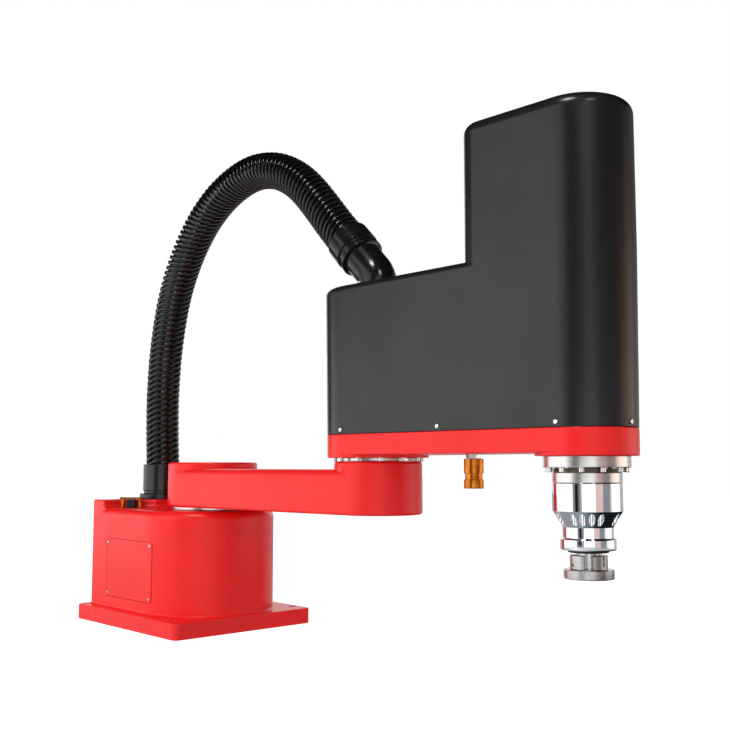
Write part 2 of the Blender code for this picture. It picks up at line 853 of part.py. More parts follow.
# Upper arm plate
plate_size = (joint_two_x, plate_radius_two, joint_three_x, plate_radius_three)
upper_plate = loft(
    "upper_arm_plate", link_outline(*plate_size),
    edged(plate_bottom, plate_top, plate_edge, plate_edge, 1),
)
for name, x, radius in (("two", joint_two_x, plate_radius_two), ("three", joint_three_x, plate_radius_three)):
    levels = edged(plate_boss_bottom, plate_top - plate_boss_drop, plate_edge, 0, 1, shy)
    join(upper_plate, loft("plate_boss_" + name, round_outline(x, 0, radius), levels))
plate_cut = (plate_boss_bottom - cutter_over, plate_top + cutter_over)
cut(
    upper_plate,
    disc("motor_two_bore", motor_two_bore, *plate_cut, (joint_two_x, 0, 0), 16),
    disc("bearing_bore", bearing_radius + gap, *plate_cut, (joint_three_x, 0, 0), 28),
)
give(upper_plate, red_paint)

# Upper arm cover: a low hood with a tower over the quill
def flared(levels):
    """The cover's sides lean out on their way up from the plate to the ledge."""
    rise = ledge_top - cover_foot
    return [(z, inset - cover_flare * min((z - cover_foot) / rise, 1)) for z, inset in levels]


hood_levels = flared(edged(cover_foot, ledge_top, 0, ledge_edge, 3))
cover = loft("upper_arm_cover", link_outline(*plate_size), hood_levels)
tower_start = ledge_top - 3 * ledge_edge
tower_outline = link_outline(*plate_size, back=tower_back, corner=tower_corner)
tower_levels = flared(edged(tower_start, tower_top, 0, tower_edge, 4, flush))
join(cover, loft("tower", tower_outline, tower_levels))
hood_inside = flared(edged(
    cover_foot - cutter_over, ledge_top - cover_wall, 0, ledge_edge - cover_wall, 1, cover_wall
))
tower_inside = flared(edged(
    tower_start - cutter_over, tower_top - cover_wall, 0, tower_edge - cover_wall, 2, cover_wall + flush
))
cut(
    cover,
    loft("hood_inside", link_outline(*plate_size), hood_inside),
    loft("tower_inside", tower_outline, tower_inside),
)
give(cover, black_satin)

# Joint 2 motor on the plate, its pilot reaching down into the output ring
pilot_two = (cover_foot - plate_boss_bottom + pilot_two_depth, pilot_two_radius)
motor_two = motor(
    "j2_motor", joint_two_x, motor_two_width, cover_foot, motor_two_length, 1, pilot_two
)
give(motor_two, dark_metal)

# Drive frame, shelf and motors under the cover
frame_outline = link_outline(*plate_size, back=frame_back, corner=frame_corner, steps=6)
drive_frame = loft("drive_frame", frame_outline, [(frame_bottom, frame_inset), (frame_top, frame_inset)])
post_tall = frame_bottom + frame_thick / 2 - cover_foot
for label, (post_x, post_y) in (("rear", rear_posts), ("front", front_posts)):
    for sign in (-1, 1):
        name = "frame_post_%s_%d" % (label, sign > 0)
        place = (post_x, sign * post_y, cover_foot + post_tall / 2)
        join(drive_frame, block(name, (*frame_post, post_tall), place))
frame_cut = (frame_bottom - cutter_over, frame_top + cutter_over)
nut_hole = screw_nut_radius + running_gap
cut(
    drive_frame,
    disc("screw_nut_hole", nut_hole, *frame_cut, (joint_three_x, 0, 0)),
    disc("axle_four_hole", axle_bore, *frame_cut, (motor_four_x, 0, 0), 16),
)
give(drive_frame, plain_steel)

shelf_middle = (shelf_bottom + shelf_top) / 2
shelf = block("j3_motor_bracket", (shelf_long, shelf_wide, shelf_thick), (motor_three_x, 0, shelf_middle))
leg_tall = shelf_bottom + shelf_thick / 2 - frame_top - gap
leg_y = (shelf_wide - frame_post[1]) / 2
for side_x in (-1, 1):
    for sign in (-1, 1):
        name = "shelf_leg_%d_%d" % (side_x > 0, sign > 0)
        place = (motor_three_x + side_x * shelf_leg_x, sign * leg_y, frame_top + gap + leg_tall / 2)
        join(shelf, block(name, (*frame_post, leg_tall), place))
cut(shelf, disc(
    "axle_three_hole", axle_bore, shelf_bottom - cutter_over, shelf_top + cutter_over,
    (motor_three_x, 0, 0), 16,
))
give(shelf, plain_steel)

motor_three = motor("j3_motor", motor_three_x, motor_three_width, shelf_top + gap, motor_three_length, 1)
give(motor_three, dark_metal)
motor_four = motor("j4_motor", motor_four_x, motor_four_width, frame_top + gap, motor_four_length, 1)
give(motor_four, dark_metal)

give(axle_pulley("j3_motor_pulley", seat_three, belt_three_z, motor_three_x, shelf_top - gap), plain_steel)
give(axle_pulley("j4_motor_pulley", seat_four, belt_four_z, motor_four_x, frame_top - gap), plain_steel)
give(belt("j3_belt", motor_three_x, seat_three, belt_three_z), belt_rubber)
give(belt("j4_belt", motor_four_x, seat_four, belt_four_z), belt_rubber)
give(bored_pulley("j4_pulley", seat_large, belt_four_z, sleeve_radius + gap), plain_steel)
give(bored_pulley("screw_pulley", seat_large, belt_three_z, screw_nut_radius + gap), plain_steel)

# Quill: fixed flange and bearing, then the turning sleeve with its plated bell
quill = (joint_three_x, 0, 0)
quill_flange = sleeve(
    "quill_flange", quill_flange_bore, quill_flange_radius, quill_flange_bottom, plate_boss_bottom - gap,
    quill, 24, 0.8 * mm,
)
give(quill_flange, satin_steel)
bearing = sleeve(
    "quill_bearing", sleeve_radius + running_gap, bearing_radius, plate_boss_bottom, plate_top - gap, quill
)
give(bearing, plain_steel)

bore = shaft_radius + bore_clearance
spline_nut = turned("spline_nut", [
    (sleeve_radius, sleeve_top), (sleeve_radius, quill_flange_bottom),
    (nut_radius, quill_flange_bottom - nut_neck), (nut_radius, nut_bottom), (bore, nut_bottom),
    (bore, sleeve_top),
], quill, 20, closed=True)
give(spline_nut, plain_steel)
bell_ring = sleeve(
    "bell_ring", nut_radius + gap, bell_radius, bell_top + gap, quill_flange_bottom - running_gap, quill, 24,
    0.6 * mm,
)
give(bell_ring, satin_steel)

# Bell: a turned shell, its cone worked with flutes milled upright from below
bell_seat = nut_radius + running_gap
bell_ceiling = nut_bottom - bell_floor
bell = turned("chrome_bell", [
    (bell_radius, bell_top), (bell_radius, bell_shoulder), (bell_neck_radius, bell_neck_top),
    (bell_neck_radius, bell_rim_top), (bell_rim_radius, bell_rim_top - bell_rim_edge),
    (bell_rim_radius, bell_bottom + bell_rim_edge), (bell_rim_radius - bell_rim_edge, bell_bottom),
    (seal_bore, bell_bottom), (seal_bore, bell_ceiling), (bell_seat, bell_ceiling), (bell_seat, bell_top),
], quill, 24, closed=True)
flute_circle = (bell_radius + bell_neck_radius) / 2
flute_top = bell_shoulder - flute_lip


def flute_cutter(turn):
    """An upright bar on the cone's middle circle, wider along its spoke than across it."""
    bar = disc("flute", 1, bell_bottom - cutter_over, flute_top, steps=8)
    spoke = Matrix.Translation((flute_circle, 0, 0))
    stretch = Matrix.Diagonal((flute_reach / 2, flute_wide / 2, 1, 1))
    about_quill = Matrix.Translation(quill) @ Matrix.Rotation(turn, 4, "Z")
    bar.matrix_world = about_quill @ spoke @ stretch
    return bar


for index in range(flute_count):
    cut(bell, flute_cutter(flute_start + 2 * math.pi * index / flute_count))
give(bell, chrome)
seal = sleeve(
    "shaft_seal", bore, seal_bore - gap, bell_bottom - seal_drop, bell_bottom - seal_drop + seal_tall, quill
)
give(seal, black_rubber)

# Ball screw nut above the frame
nut_foot = frame_top + running_gap
nut_step = frame_top + screw_nut_step
nut_low = frame_bottom - screw_nut_drop
screw_nut = turned("ball_screw_nut", [
    (screw_nut_radius, screw_nut_top), (screw_nut_radius, nut_step), (screw_nut_flange, nut_step),
    (screw_nut_flange, nut_foot), (screw_nut_radius, nut_foot), (screw_nut_radius, nut_low),
    (bore, nut_low), (bore, screw_nut_top),
], quill, 20, closed=True)
give(screw_nut, plain_steel)

# Shaft with its ball spline grooves, its stop collar and the tool end
shaft = disc("spline_shaft", shaft_radius, shaft_bottom, shaft_top, quill, 24, 0.6 * mm)
for index in range(spline_count):
    turn = hub_side + 2 * math.pi * index / spline_count
    place = (joint_three_x + shaft_radius * math.cos(turn), shaft_radius * math.sin(turn), 0)
    cut(shaft, disc(
        "spline_groove_%d" % index, spline_radius, shaft_bottom + hub_tall + tool_flange_thick,
        screw_nut_top, place, 8,
    ))
give(shaft, chrome)
stop = sleeve(
    "shaft_stop_collar", shaft_radius + gap, sleeve_radius, stop_bottom, stop_bottom + stop_tall, quill, 20,
    0.5 * mm,
)
give(stop, dark_metal)

hub_bottom = tool_flange_top + gap
hub_middle = (hub_top + hub_bottom) / 2
hub = sleeve("tool_hub", shaft_radius + gap, hub_radius, hub_bottom, hub_top, quill, 24, 0.6 * mm)
for name, turn, (deep, wide), reach in (
    ("hub_slit", hub_side, hub_slit, hub_radius),
    ("hub_groove", hub_side + hub_groove_turn, hub_groove, hub_radius + hub_groove[0] / 3),
):
    place = (joint_three_x + reach * math.cos(turn), reach * math.sin(turn), hub_middle)
    cut(hub, block(name, (deep, wide, 2 * hub_tall), place, 0, turn))
give(hub, satin_steel)

tool_flange = disc("tool_flange", tool_flange_radius, tool_flange_bottom, tool_flange_top, quill, 24, 0.6 * mm)
cut(tool_flange, disc(
    "flange_bore", shaft_radius + gap, shaft_bottom - gap, tool_flange_top + cutter_over, quill, 24,
))
for index in range(tool_hole_count):
    turn = 2 * math.pi * (index + 0.5) / tool_hole_count
    place = (
        joint_three_x + tool_hole_circle * math.cos(turn), tool_hole_circle * math.sin(turn), 0
    )
    cut(tool_flange, disc(
        "tool_hole_%d" % index, tool_hole_radius, tool_flange_bottom - cutter_over,
        tool_flange_bottom + tool_hole_deep, place, 8,
    ))
give(tool_flange, satin_steel)

# Muffler under the upper arm
muffler_place = (muffler_x, 0, 0)
neck_top = plate_bottom - gap
muffler_top = neck_top - muffler_neck_long - gap
muffler_bottom = muffler_top - muffler_long
muffler_neck = disc(
    "muffler_neck", muffler_neck_radius, neck_top - muffler_neck_long, neck_top, muffler_place, 6
)
give(muffler_neck, plain_steel)
groove_low = muffler_bottom + muffler_groove[0]
groove_high = muffler_bottom + muffler_groove[1]
groove_radius = muffler_radius - muffler_groove_deep
muffler = turned("muffler_body", [
    (0, muffler_top), (muffler_radius - muffler_edge, muffler_top),
    (muffler_radius, muffler_top - muffler_edge), (muffler_radius, groove_high),
    (groove_radius, groove_high), (groove_radius, groove_low), (muffler_radius, groove_low),
    (muffler_radius, muffler_bottom + muffler_edge), (muffler_radius - muffler_edge, muffler_bottom),
    (0, muffler_bottom),
], muffler_place, 16)
give(muffler, gold_brass)

# Upper hose fitting: a ring on the cover, and an elbow that swivels on joint 2's axis
upper_flange = sleeve(
    "hose_flange_upper", upper_flange_bore, upper_flange_radius, ledge_top + gap, elbow_foot,
    (joint_two_x, 0, 0), 20, fitting_edge,
)
give(upper_flange, black_satin)

lean = Vector((-math.sin(bend_angle), 0, math.cos(bend_angle)))
bend_reach = bend_radius * math.tan(bend_angle / 2)
elbow_route = [(0, 0, elbow_foot + running_gap - bend_z)]
for step in range(bend_steps + 1):
    angle = bend_angle * step / bend_steps
    along = bend_radius * math.sin(angle) - bend_reach
    across = bend_radius * (1 - math.cos(angle))
    elbow_route.append((-across, 0, along))
elbow_route.append(tuple(lean * elbow_end))
elbow = tube("hose_elbow", elbow_route, elbow_radius, 5, (joint_two_x, 0, bend_z))
give(elbow, black_satin)

upper_bottom = elbow_end + gap
upper_levels = (upper_bottom, upper_bottom + upper_collar_neck, hose_inside - seat_back, upper_collar_end)
collar_high = collar(
    "hose_collar_upper", upper_collar_radius, elbow_radius, upper_levels, (joint_two_x, 0, bend_z)
)
collar_high.rotation_euler.y = -bend_angle
give(collar_high, black_satin)
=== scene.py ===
# Four-axis arm: red enamelled castings, black cover, ribbed conduit and a plated quill.
import math
from functools import partial

import bmesh
import bpy
from mathutils import Matrix, Vector


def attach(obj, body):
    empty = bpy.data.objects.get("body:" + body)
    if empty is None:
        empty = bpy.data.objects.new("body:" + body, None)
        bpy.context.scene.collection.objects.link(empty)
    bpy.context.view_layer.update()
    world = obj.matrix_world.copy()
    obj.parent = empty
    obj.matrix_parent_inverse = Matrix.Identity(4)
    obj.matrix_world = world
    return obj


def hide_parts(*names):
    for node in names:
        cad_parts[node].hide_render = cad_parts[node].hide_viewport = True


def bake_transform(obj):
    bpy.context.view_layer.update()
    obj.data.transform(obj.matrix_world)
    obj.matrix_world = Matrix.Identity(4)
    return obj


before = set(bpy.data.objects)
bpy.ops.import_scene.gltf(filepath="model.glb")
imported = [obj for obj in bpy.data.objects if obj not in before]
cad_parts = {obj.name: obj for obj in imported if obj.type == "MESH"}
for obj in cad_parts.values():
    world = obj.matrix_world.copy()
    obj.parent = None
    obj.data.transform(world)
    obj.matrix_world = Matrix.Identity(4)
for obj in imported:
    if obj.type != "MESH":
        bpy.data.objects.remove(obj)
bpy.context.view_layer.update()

# Lengths are in millimetres unless a note says metres, and meshPiece makes them metres
mm = 0.001
linkOne = 325  # joint 1 to joint 2
linkTwo = 275  # joint 2 to the quill
quillX = linkOne + linkTwo
fullTurn = 2 * math.pi

print("frame loaded")

# The photograph's view: 730 x 730 pixels, a little below the middle of the upper arm
cameraLook = {
    "place": (1.12409, -0.75544, 0.20898),  # metres
    "heading": math.radians(42.568),  # how far the view turns from -X towards +Y
    "pitch": math.radians(5.48),
    "lens": 48.598,
    "shift": (0.00144, 0.00956),
}


def addObject(name, data):
    item = bpy.data.objects.new(name, data)
    bpy.context.scene.collection.objects.link(item)
    return item


def makeCamera(look):
    data = bpy.data.cameras.new("viewCamera")
    data.sensor_width = 36
    data.lens = look["lens"]
    data.shift_x, data.shift_y = look["shift"]
    camera = addObject("viewCamera", data)
    heading, pitch = look["heading"], look["pitch"]
    level = math.cos(pitch)
    ahead = Vector((-math.cos(heading) * level, math.sin(heading) * level, math.sin(pitch)))
    camera.location = look["place"]
    camera.rotation_euler = ahead.to_track_quat("-Z", "Y").to_euler()
    bpy.context.scene.camera = camera


makeCamera(cameraLook)


# Colours and nodes
def toLinear(hexColour):
    channels = [int(hexColour[at:at + 2], 16) / 255 for at in (0, 2, 4)]
    return (*[c / 12.92 if c <= 0.04045 else ((c + 0.055) / 1.055) ** 2.4 for c in channels], 1.0)


def addNode(tree, kind, settings=()):
    node = tree.nodes.new(kind)
    for key, value in dict(settings).items():
        source = value.outputs[0] if isinstance(value, bpy.types.Node) else value
        if isinstance(source, bpy.types.NodeSocket):
            tree.links.new(source, node.inputs[key])
        elif isinstance(key, int) or key in node.inputs:
            node.inputs[key].default_value = value
        else:
            setattr(node, key, value)
    return node


# A finish has two colours, the range of its roughness and the sizes of its blotches, its grain and
# the grain's depth. Worn edges have a colour, a width and a share.
def makeFinish(name, look, axis=None):
    material = bpy.data.materials.new(name)
    material.use_nodes = True
    tree = material.node_tree
    add = partial(addNode, tree)
    coords = add("ShaderNodeTexCoord").outputs["Object"]
    grainCoords = coords
    if axis is not None:  # fine rings about a vertical axis, as a lathe tool leaves them
        centred = add("ShaderNodeMapping", {"Location": (-axis * mm, 0, 0), "Vector": coords})
        split = add("ShaderNodeSeparateXYZ", {0: centred})
        flat = add("ShaderNodeCombineXYZ", {0: split.outputs[0], 1: split.outputs[1]})
        radius = add("ShaderNodeVectorMath", {"operation": "LENGTH", 0: flat})
        grainCoords = add("ShaderNodeCombineXYZ", {0: radius.outputs["Value"], 2: split.outputs[2]})
    blotchSize, grainSize, depth = [size * mm for size in look["scale"]]
    blotch = add("ShaderNodeTexNoise", {"Scale": 1 / blotchSize, "Detail": 3.0, 0: coords})
    grain = add("ShaderNodeTexNoise", {"Scale": 1 / grainSize, "Detail": 2.0, 0: grainCoords})
    spread = add("ShaderNodeMapRange", {0: blotch, 1: 0.35, 2: 0.65})
    first, second = [toLinear(hexColour) for hexColour in look["hex"]]
    colour = add("ShaderNodeMix", {"data_type": "RGBA", 0: spread, 6: first, 7: second}).outputs[2]
    smoothest, roughest = look["rough"]
    roughness = add("ShaderNodeMapRange", {
        0: grain if axis else blotch, 1: 0.3, 2: 0.7, 3: smoothest, 4: roughest,
    })
    if "worn" in look:  # rubbed edges, found where a rounded normal leaves the true one
        wornHex, wornWidth, wornShare = look["worn"]
        soft = add("ShaderNodeBevel", {"samples": 4, "Radius": wornWidth * mm})
        true = add("ShaderNodeNewGeometry").outputs["Normal"]
        match = add("ShaderNodeVectorMath", {"operation": "DOT_PRODUCT", 0: soft, 1: true})
        match = match.outputs["Value"]
        edge = add("ShaderNodeMapRange", {0: match, 1: 0.995, 2: 0.93, 3: 0.0, 4: wornShare})
        patchy = add("ShaderNodeMath", {"operation": "MULTIPLY", 0: edge, 1: spread})
        colour = add("ShaderNodeMix", {
            "data_type": "RGBA", 0: patchy, 6: colour, 7: toLinear(wornHex),
        }).outputs[2]
        duller = add("ShaderNodeMath", {"operation": "MULTIPLY", 0: patchy, 1: 0.25})
        roughness = add("ShaderNodeMath", {"operation": "ADD", 0: roughness, 1: duller})
    bump = add("ShaderNodeBump", {"Strength": 0.3, "Distance": depth, "Height": grain})
    shader = tree.nodes["Principled BSDF"]
    tree.links.new(colour, shader.inputs["Base Color"])
    tree.links.new(roughness.outputs[0], shader.inputs["Roughness"])
    tree.links.new(bump.outputs[0], shader.inputs["Normal"])
    if "ior" in look:
        shader.inputs["IOR"].default_value = look["ior"]
    else:
        shader.inputs["Metallic"].default_value = look.get("metal", 1.0)
    return material


# Sprayed enamel on an aluminium casting: an even red gloss with a faint orange peel
redEnamel = makeFinish("sprayedRedEnamel", {
    "hex": ("ff2123", "f81e20"), "rough": (0.24, 0.32), "scale": (60, 1.6, 0.02),
    "ior": 1.42, "worn": ("ff5a55", 1.2, 0.5),
})
# Moulded ABS with a fine satin grain: dark grey, reflections soft but readable
satinAbs = makeFinish("satinMouldedAbs", {
    "hex": ("1f2022", "1b1c1e"), "rough": (0.22, 0.29), "scale": (70, 0.9, 0.012),
    "ior": 1.5, "worn": ("3a3b3d", 1.0, 0.5),
})
# Extruded polyamide conduit: black, slightly waxy, with bright lines on its rib crests
conduitNylon = makeFinish("corrugatedPolyamide", {
    "hex": ("141517", "0e0f10"), "rough": (0.1, 0.16), "scale": (14, 1.2, 0.006), "ior": 1.53,
})
# Glass-filled nylon fittings: black with a moulded gloss
fittingNylon = makeFinish("mouldedNylonFitting", {
    "hex": ("18191b", "131416"), "rough": (0.16, 0.24), "scale": (25, 0.8, 0.01),
    "ior": 1.53, "worn": ("3c3d40", 0.6, 0.4),
})
# Hard chrome plate on the turned bell: a clean mirror with a trace of handling film
hardChrome = makeFinish("hardChromePlate", {
    "hex": ("e9eaee", "dfe1e6"), "rough": (0.03, 0.06), "scale": (18, 3, 0.001),
})
# Satin turned steel about the quill's axis: fine lathe rings, drawn coarse enough to show
turnedSteel = makeFinish("satinTurnedSteel", {
    "hex": ("e4e2df", "d8d6d4"), "rough": (0.2, 0.28), "scale": (30, 0.45, 0.008),
    "worn": ("f0efec", 0.5, 0.7),
}, quillX)
# The tool hub and flange: the same steel, rubbed duller with an abrasive pad
brushedSteel = makeFinish("brushedToolSteel", {
    "hex": ("d3d1ce", "c6c4c2"), "rough": (0.22, 0.3), "scale": (24, 0.45, 0.008),
    "worn": ("f0efec", 0.5, 0.7),
}, quillX)
# The ring's neck behind the screws: a dark brown-grey steel that is painted shade for the recess under the
# flange and between the screw heads
neckShadeSteel = makeFinish("brownOxideSteel", {
    "hex": ("80756a", "6a6058"), "rough": (0.4, 0.55), "scale": (8, 0.6, 0.01),
}, quillX)
# Ground hardened shaft: brighter than the turned steel and almost free of marks
groundShaft = makeFinish("groundHardenedSteel", {
    "hex": ("d5d6d8", "cbccce"), "rough": (0.1, 0.18), "scale": (12, 0.9, 0.006),
}, quillX)
# Orange bronze of the muffler and the port strip: polished, its colour deepening in blotches
orangeBronze = makeFinish("polishedOrangeBronze", {
    "hex": ("d9822b", "b8641c"), "rough": (0.14, 0.26), "scale": (6, 0.5, 0.01),
    "worn": ("f2b56a", 0.4, 0.6),
})
# Zinc-plated screw heads
zincPlate = makeFinish("zincPlatedSteel", {
    "hex": ("f0f0ee", "dcdcda"), "rough": (0.16, 0.28), "scale": (3, 0.6, 0.01),
})
# Bare machined steel and aluminium of the parts inside
machinedSteel = makeFinish("machinedSteel", {
    "hex": ("9b9da0", "87898c"), "rough": (0.3, 0.42), "scale": (20, 0.8, 0.01),
})
# Dark anodised motor housings
darkAnodised = makeFinish("darkAnodisedAluminium", {
    "hex": ("33353a", "2a2c30"), "rough": (0.36, 0.5), "scale": (20, 0.7, 0.01),
    "metal": 0.6, "worn": ("84878c", 0.6, 0.6),
})
# Nitrile rubber of the shaft seal and the belts: matt black
nitrileRubber = makeFinish("nitrileRubber", {
    "hex": ("161616", "0f0f10"), "rough": (0.55, 0.7), "scale": (8, 0.5, 0.02), "ior": 1.52,
})

print("finishes made")


# Outlines and solids
def roundPoint(x, radius, angle, *height):
    return (x + radius * math.cos(angle), radius * math.sin(angle), *height)


def roundedOutline(corners, radii, inset=0.0, steps=12):
    count = len(corners)
    steps = steps if isinstance(steps, tuple) else (steps,) * count
    points = [Vector(corner) for corner in corners]
    sides = [(points[(index + 1) % count] - points[index]).normalized() for index in range(count)]
    normals = [Vector((-side.y, side.x)) for side in sides]
    outline = []
    for index in range(count):
        before, after = normals[index - 1], normals[index]
        spread = (before + after) / (before + after).dot(after)
        turn = before.cross(after)
        radius = max(radii[index] - inset if turn > 0 else radii[index] + inset, 0.05)
        centre = points[index] + spread * inset + (spread if turn > 0 else -spread) * radius
        first = -before if turn > 0 else before
        start = math.atan2(first.y, first.x)
        sweep = math.atan2(turn, before.dot(after))
        for step in range(steps[index] + 1):
            x, y = roundPoint(centre.x, radius, start + sweep * step / steps[index])
            outline.append((x, centre.y + y))
    return outline


def edgeLevels(bottom, top, bottomEdge=0.0, topEdge=0.0, inset=0.0, steps=8):
    levels = []
    for step in range(steps + 1) if bottomEdge else ():
        angle = math.pi / 2 * step / steps
        rise = abs(bottomEdge) * (1 - math.cos(angle))
        levels.append((bottom + rise, inset + bottomEdge * (1 - math.sin(angle))))
    if not bottomEdge:
        levels.append((bottom, inset))
    for step in range(steps + 1) if topEdge else ():
        angle = math.pi / 2 * step / steps
        levels.append((top - topEdge * (1 - math.sin(angle)), inset + topEdge * (1 - math.cos(angle))))
    if not topEdge:
        levels.append((top, inset))
    return levels


def cleanMesh(mesh, gap):
    work = bmesh.new()
    work.from_mesh(mesh)
    bmesh.ops.remove_doubles(work, verts=work.verts, dist=gap)
    bmesh.ops.recalc_face_normals(work, faces=work.faces)
    work.to_mesh(mesh)
    work.free()


def meshPiece(name, points, faces, place=Matrix()):
    mesh = bpy.data.meshes.new(name)
    mesh.from_pydata([[value * mm for value in point] for point in points], [], faces)
    mesh.transform(Matrix.Translation(place.translation * mm) @ place.to_3x3().to_4x4())
    cleanMesh(mesh, 1e-6)
    return addObject(name, mesh)


def ringFaces(rows, size):
    faces = []
    for low in range(0, (rows - 1) * size, size):
        for index in range(size):
            after = (index + 1) % size
            faces.append((low + index, low + after, low + size + after, low + size + index))
    return faces


def endFaces(count, size):
    return [tuple(range(size)), tuple(range(count - size, count))]


def skinPiece(name, section, levels, place=Matrix()):
    points = [(x, y, height) for height, inset in levels for x, y in section(inset)]
    size = len(points) // len(levels)
    return meshPiece(name, points, endFaces(len(points), size) + ringFaces(len(levels), size), place)


# A profile's points are (radius, height), with a third value where the corner is rounded
def softProfile(profile, closed):
    count = len(profile)
    result = []
    for index, point in enumerate(profile):
        here = Vector(point[:2])
        radius = point[2] if len(point) > 2 else 0.0
        if not radius or (not closed and index in (0, count - 1)):
            result.append(tuple(here))
            continue
        back = Vector(profile[index - 1][:2]) - here
        ahead = Vector(profile[(index + 1) % count][:2]) - here
        half = back.angle(ahead) / 2
        reach = min(radius / math.tan(half), 0.49 * back.length, 0.49 * ahead.length)
        start, end = here + back.normalized() * reach, here + ahead.normalized() * reach
        for share in (0, 0.25, 0.5, 0.75, 1):
            result.append(tuple(
                start * (1 - share) ** 2 + here * 2 * share * (1 - share) + end * share ** 2
            ))
    return result


def turnedPiece(name, profile, place=(0, 0, 0), closed=False, steps=96, tilt=Matrix()):
    points, rows = [], []
    for radius, height in softProfile(profile, closed):
        if radius < 0.001:
            rows.append([len(points)] * steps)
            points.append((0, 0, height))
        else:
            rows.append(list(range(len(points), len(points) + steps)))
            points += [roundPoint(0, radius, fullTurn * turn / steps, height) for turn in range(steps)]
    faces = []
    for index in range(len(rows) if closed else len(rows) - 1):
        low, high = rows[index], rows[(index + 1) % len(rows)]
        for turn in range(steps):
            after = (turn + 1) % steps
            corners = [low[turn], low[after], high[after], high[turn]]
            faces.append(tuple(dict.fromkeys(corners)))
    return meshPiece(name, points, faces, Matrix.Translation(place) @ tilt)


def drilled(x, y, radius, low, high, steps=64):
    profile = ((0, low), (radius, low), (radius, high), (0, high))
    return turnedPiece("drilled", profile, (x, y, 0), steps=steps)


def plainMesh(piece):
    bpy.context.view_layer.update()
    graph = bpy.context.evaluated_depsgraph_get()
    mesh = bpy.data.meshes.new_from_object(piece.evaluated_get(graph), depsgraph=graph)
    mesh.name = piece.name
    return mesh


def settle(piece):
    mesh = plainMesh(piece)
    piece.modifiers.clear()
    piece.data = mesh


def carve(target, others, operation="DIFFERENCE"):
    for other in others:
        change = target.modifiers.new(other.name, "BOOLEAN")
        change.operation = operation
        change.solver = "EXACT"
        change.object = other
    settle(target)
    for other in others:
        bpy.data.objects.remove(other, do_unlink=True)


def dress(piece, finish, body, replaced, slot, sharp=32):
    mesh = piece.data
    mesh.materials.clear()
    mesh.materials.append(finish)
    for face in mesh.polygons:
        face.material_index = 0
        face.use_smooth = True
    mesh.set_sharp_from_angle(angle=math.radians(sharp))
    weighted = piece.modifiers.new("weighted", "WEIGHTED_NORMAL")
    weighted.keep_sharp = True
    settle(piece)
    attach(piece, body)
    if replaced:
        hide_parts(replaced)


def linkSection(xOne, radiusOne, xTwo, radiusTwo, back=None, corner=0.0, steps=40):
    lean = (radiusOne - radiusTwo) / (xTwo - xOne)
    low = xOne - radiusOne if back is None else back
    high = xTwo + radiusTwo
    halfLow, halfHigh = [
        (radiusOne + (xOne - x) * lean) / math.sqrt(1 - lean * lean) for x in (low, high)
    ]
    corners = ((low, -halfLow), (high, -halfHigh), (high, halfHigh), (low, halfLow))
    first = radiusOne - 0.02 if back is None else corner
    radii = (first, radiusTwo - 0.02, radiusTwo - 0.02, first)
    return lambda inset: roundedOutline(corners, radii, inset, steps)


def roundSection(x, radius, steps=160, shift=0.0):
    return lambda inset: [
        roundPoint(x, radius - inset, fullTurn * (turn + shift) / steps) for turn in range(steps)
    ]


def boxSection(corners, radius, steps=6):
    return lambda inset: roundedOutline(corners, (radius,) * 4, inset, steps)


def boxCorners(xLow, xHigh, yHalf):
    return ((xLow, -yHalf), (xHigh, -yHalf), (xHigh, yHalf), (xLow, yHalf))


# Conduit: a six-start spiral of ribs along a smooth curve through the route's points
hoseLook = {
    "radius": 24.5, "core": 19.8, "coreSides": 48, "coreRows": 220, "starts": 6, "lead": 48,
    "ribWidth": 4.2, "ribTop": 2.6, "ribSink": 0.8, "ribCorner": 0.9, "stepsPerTurn": 26,
    "foot": 184, "settle": 0.9972,  # the solid's tube cuts the crest short, and the spiral keeps under it
    "blend": ((-0.129, 0, 0.2), (0.27, 0, 0.455)),  # metres
    "route": (  # x and z, the same points as the solid's
        (-129, 184), (-129, 216), (-131.5, 264), (-131.5, 320), (-124, 385), (-106, 450),
        (-78, 502), (-40, 545), (2, 574), (47, 591), (90, 596.5), (132, 590),
        (168, 574), (198, 552), (226, 524), (250, 498), (271.3, 476.2), (284.7, 462.8),
    ),
}


def smoothRoute(points, perSpan):
    ends = [points[0] * 2 - points[1], *points, points[-1] * 2 - points[-2]]
    route = []
    for index in range(1, len(ends) - 2):
        a, b, c, d = ends[index - 1:index + 3]
        for step in range(perSpan):
            t = step / perSpan
            square, cube = 2 * a - 5 * b + 4 * c - d, 3 * b - a - 3 * c + d
            route.append(0.5 * (2 * b + (c - a) * t + square * t ** 2 + cube * t ** 3))
    route.append(points[-1])
    return route


def groupWith(name, inputs):
    tree = bpy.data.node_groups.new(name, "GeometryNodeTree")
    tree.interface.new_socket("Geometry", in_out="INPUT", socket_type="NodeSocketGeometry")
    keys = {}
    for label, kind in inputs.items():
        keys[label] = tree.interface.new_socket(
            label, in_out="INPUT", socket_type="NodeSocket" + kind
        ).identifier
    tree.interface.new_socket("Geometry", in_out="OUTPUT", socket_type="NodeSocketGeometry")
    sockets = {socket.name: socket for socket in tree.nodes.new("NodeGroupInput").outputs}
    return partial(addNode, tree), sockets, keys


# The last two nodes of every tree, and the plain mesh that it gives
def growPiece(name, source, add, geometry, finish, keys, values):
    real = add("GeometryNodeRealizeInstances", {0: geometry})
    painted = add("GeometryNodeSetMaterial", {"Geometry": real, "Material": finish})
    output = add("NodeGroupOutput", {0: painted})
    grow = source.modifiers.new("grow", "NODES")
    grow.node_group = output.id_data
    for label, identifier in keys.items():
        grow[identifier] = values[label]
    source.update_tag()
    mesh = plainMesh(source)
    mesh.name = name
    bpy.data.objects.remove(source, do_unlink=True)
    cleanMesh(mesh, 1e-7)
    return addObject(name, mesh)


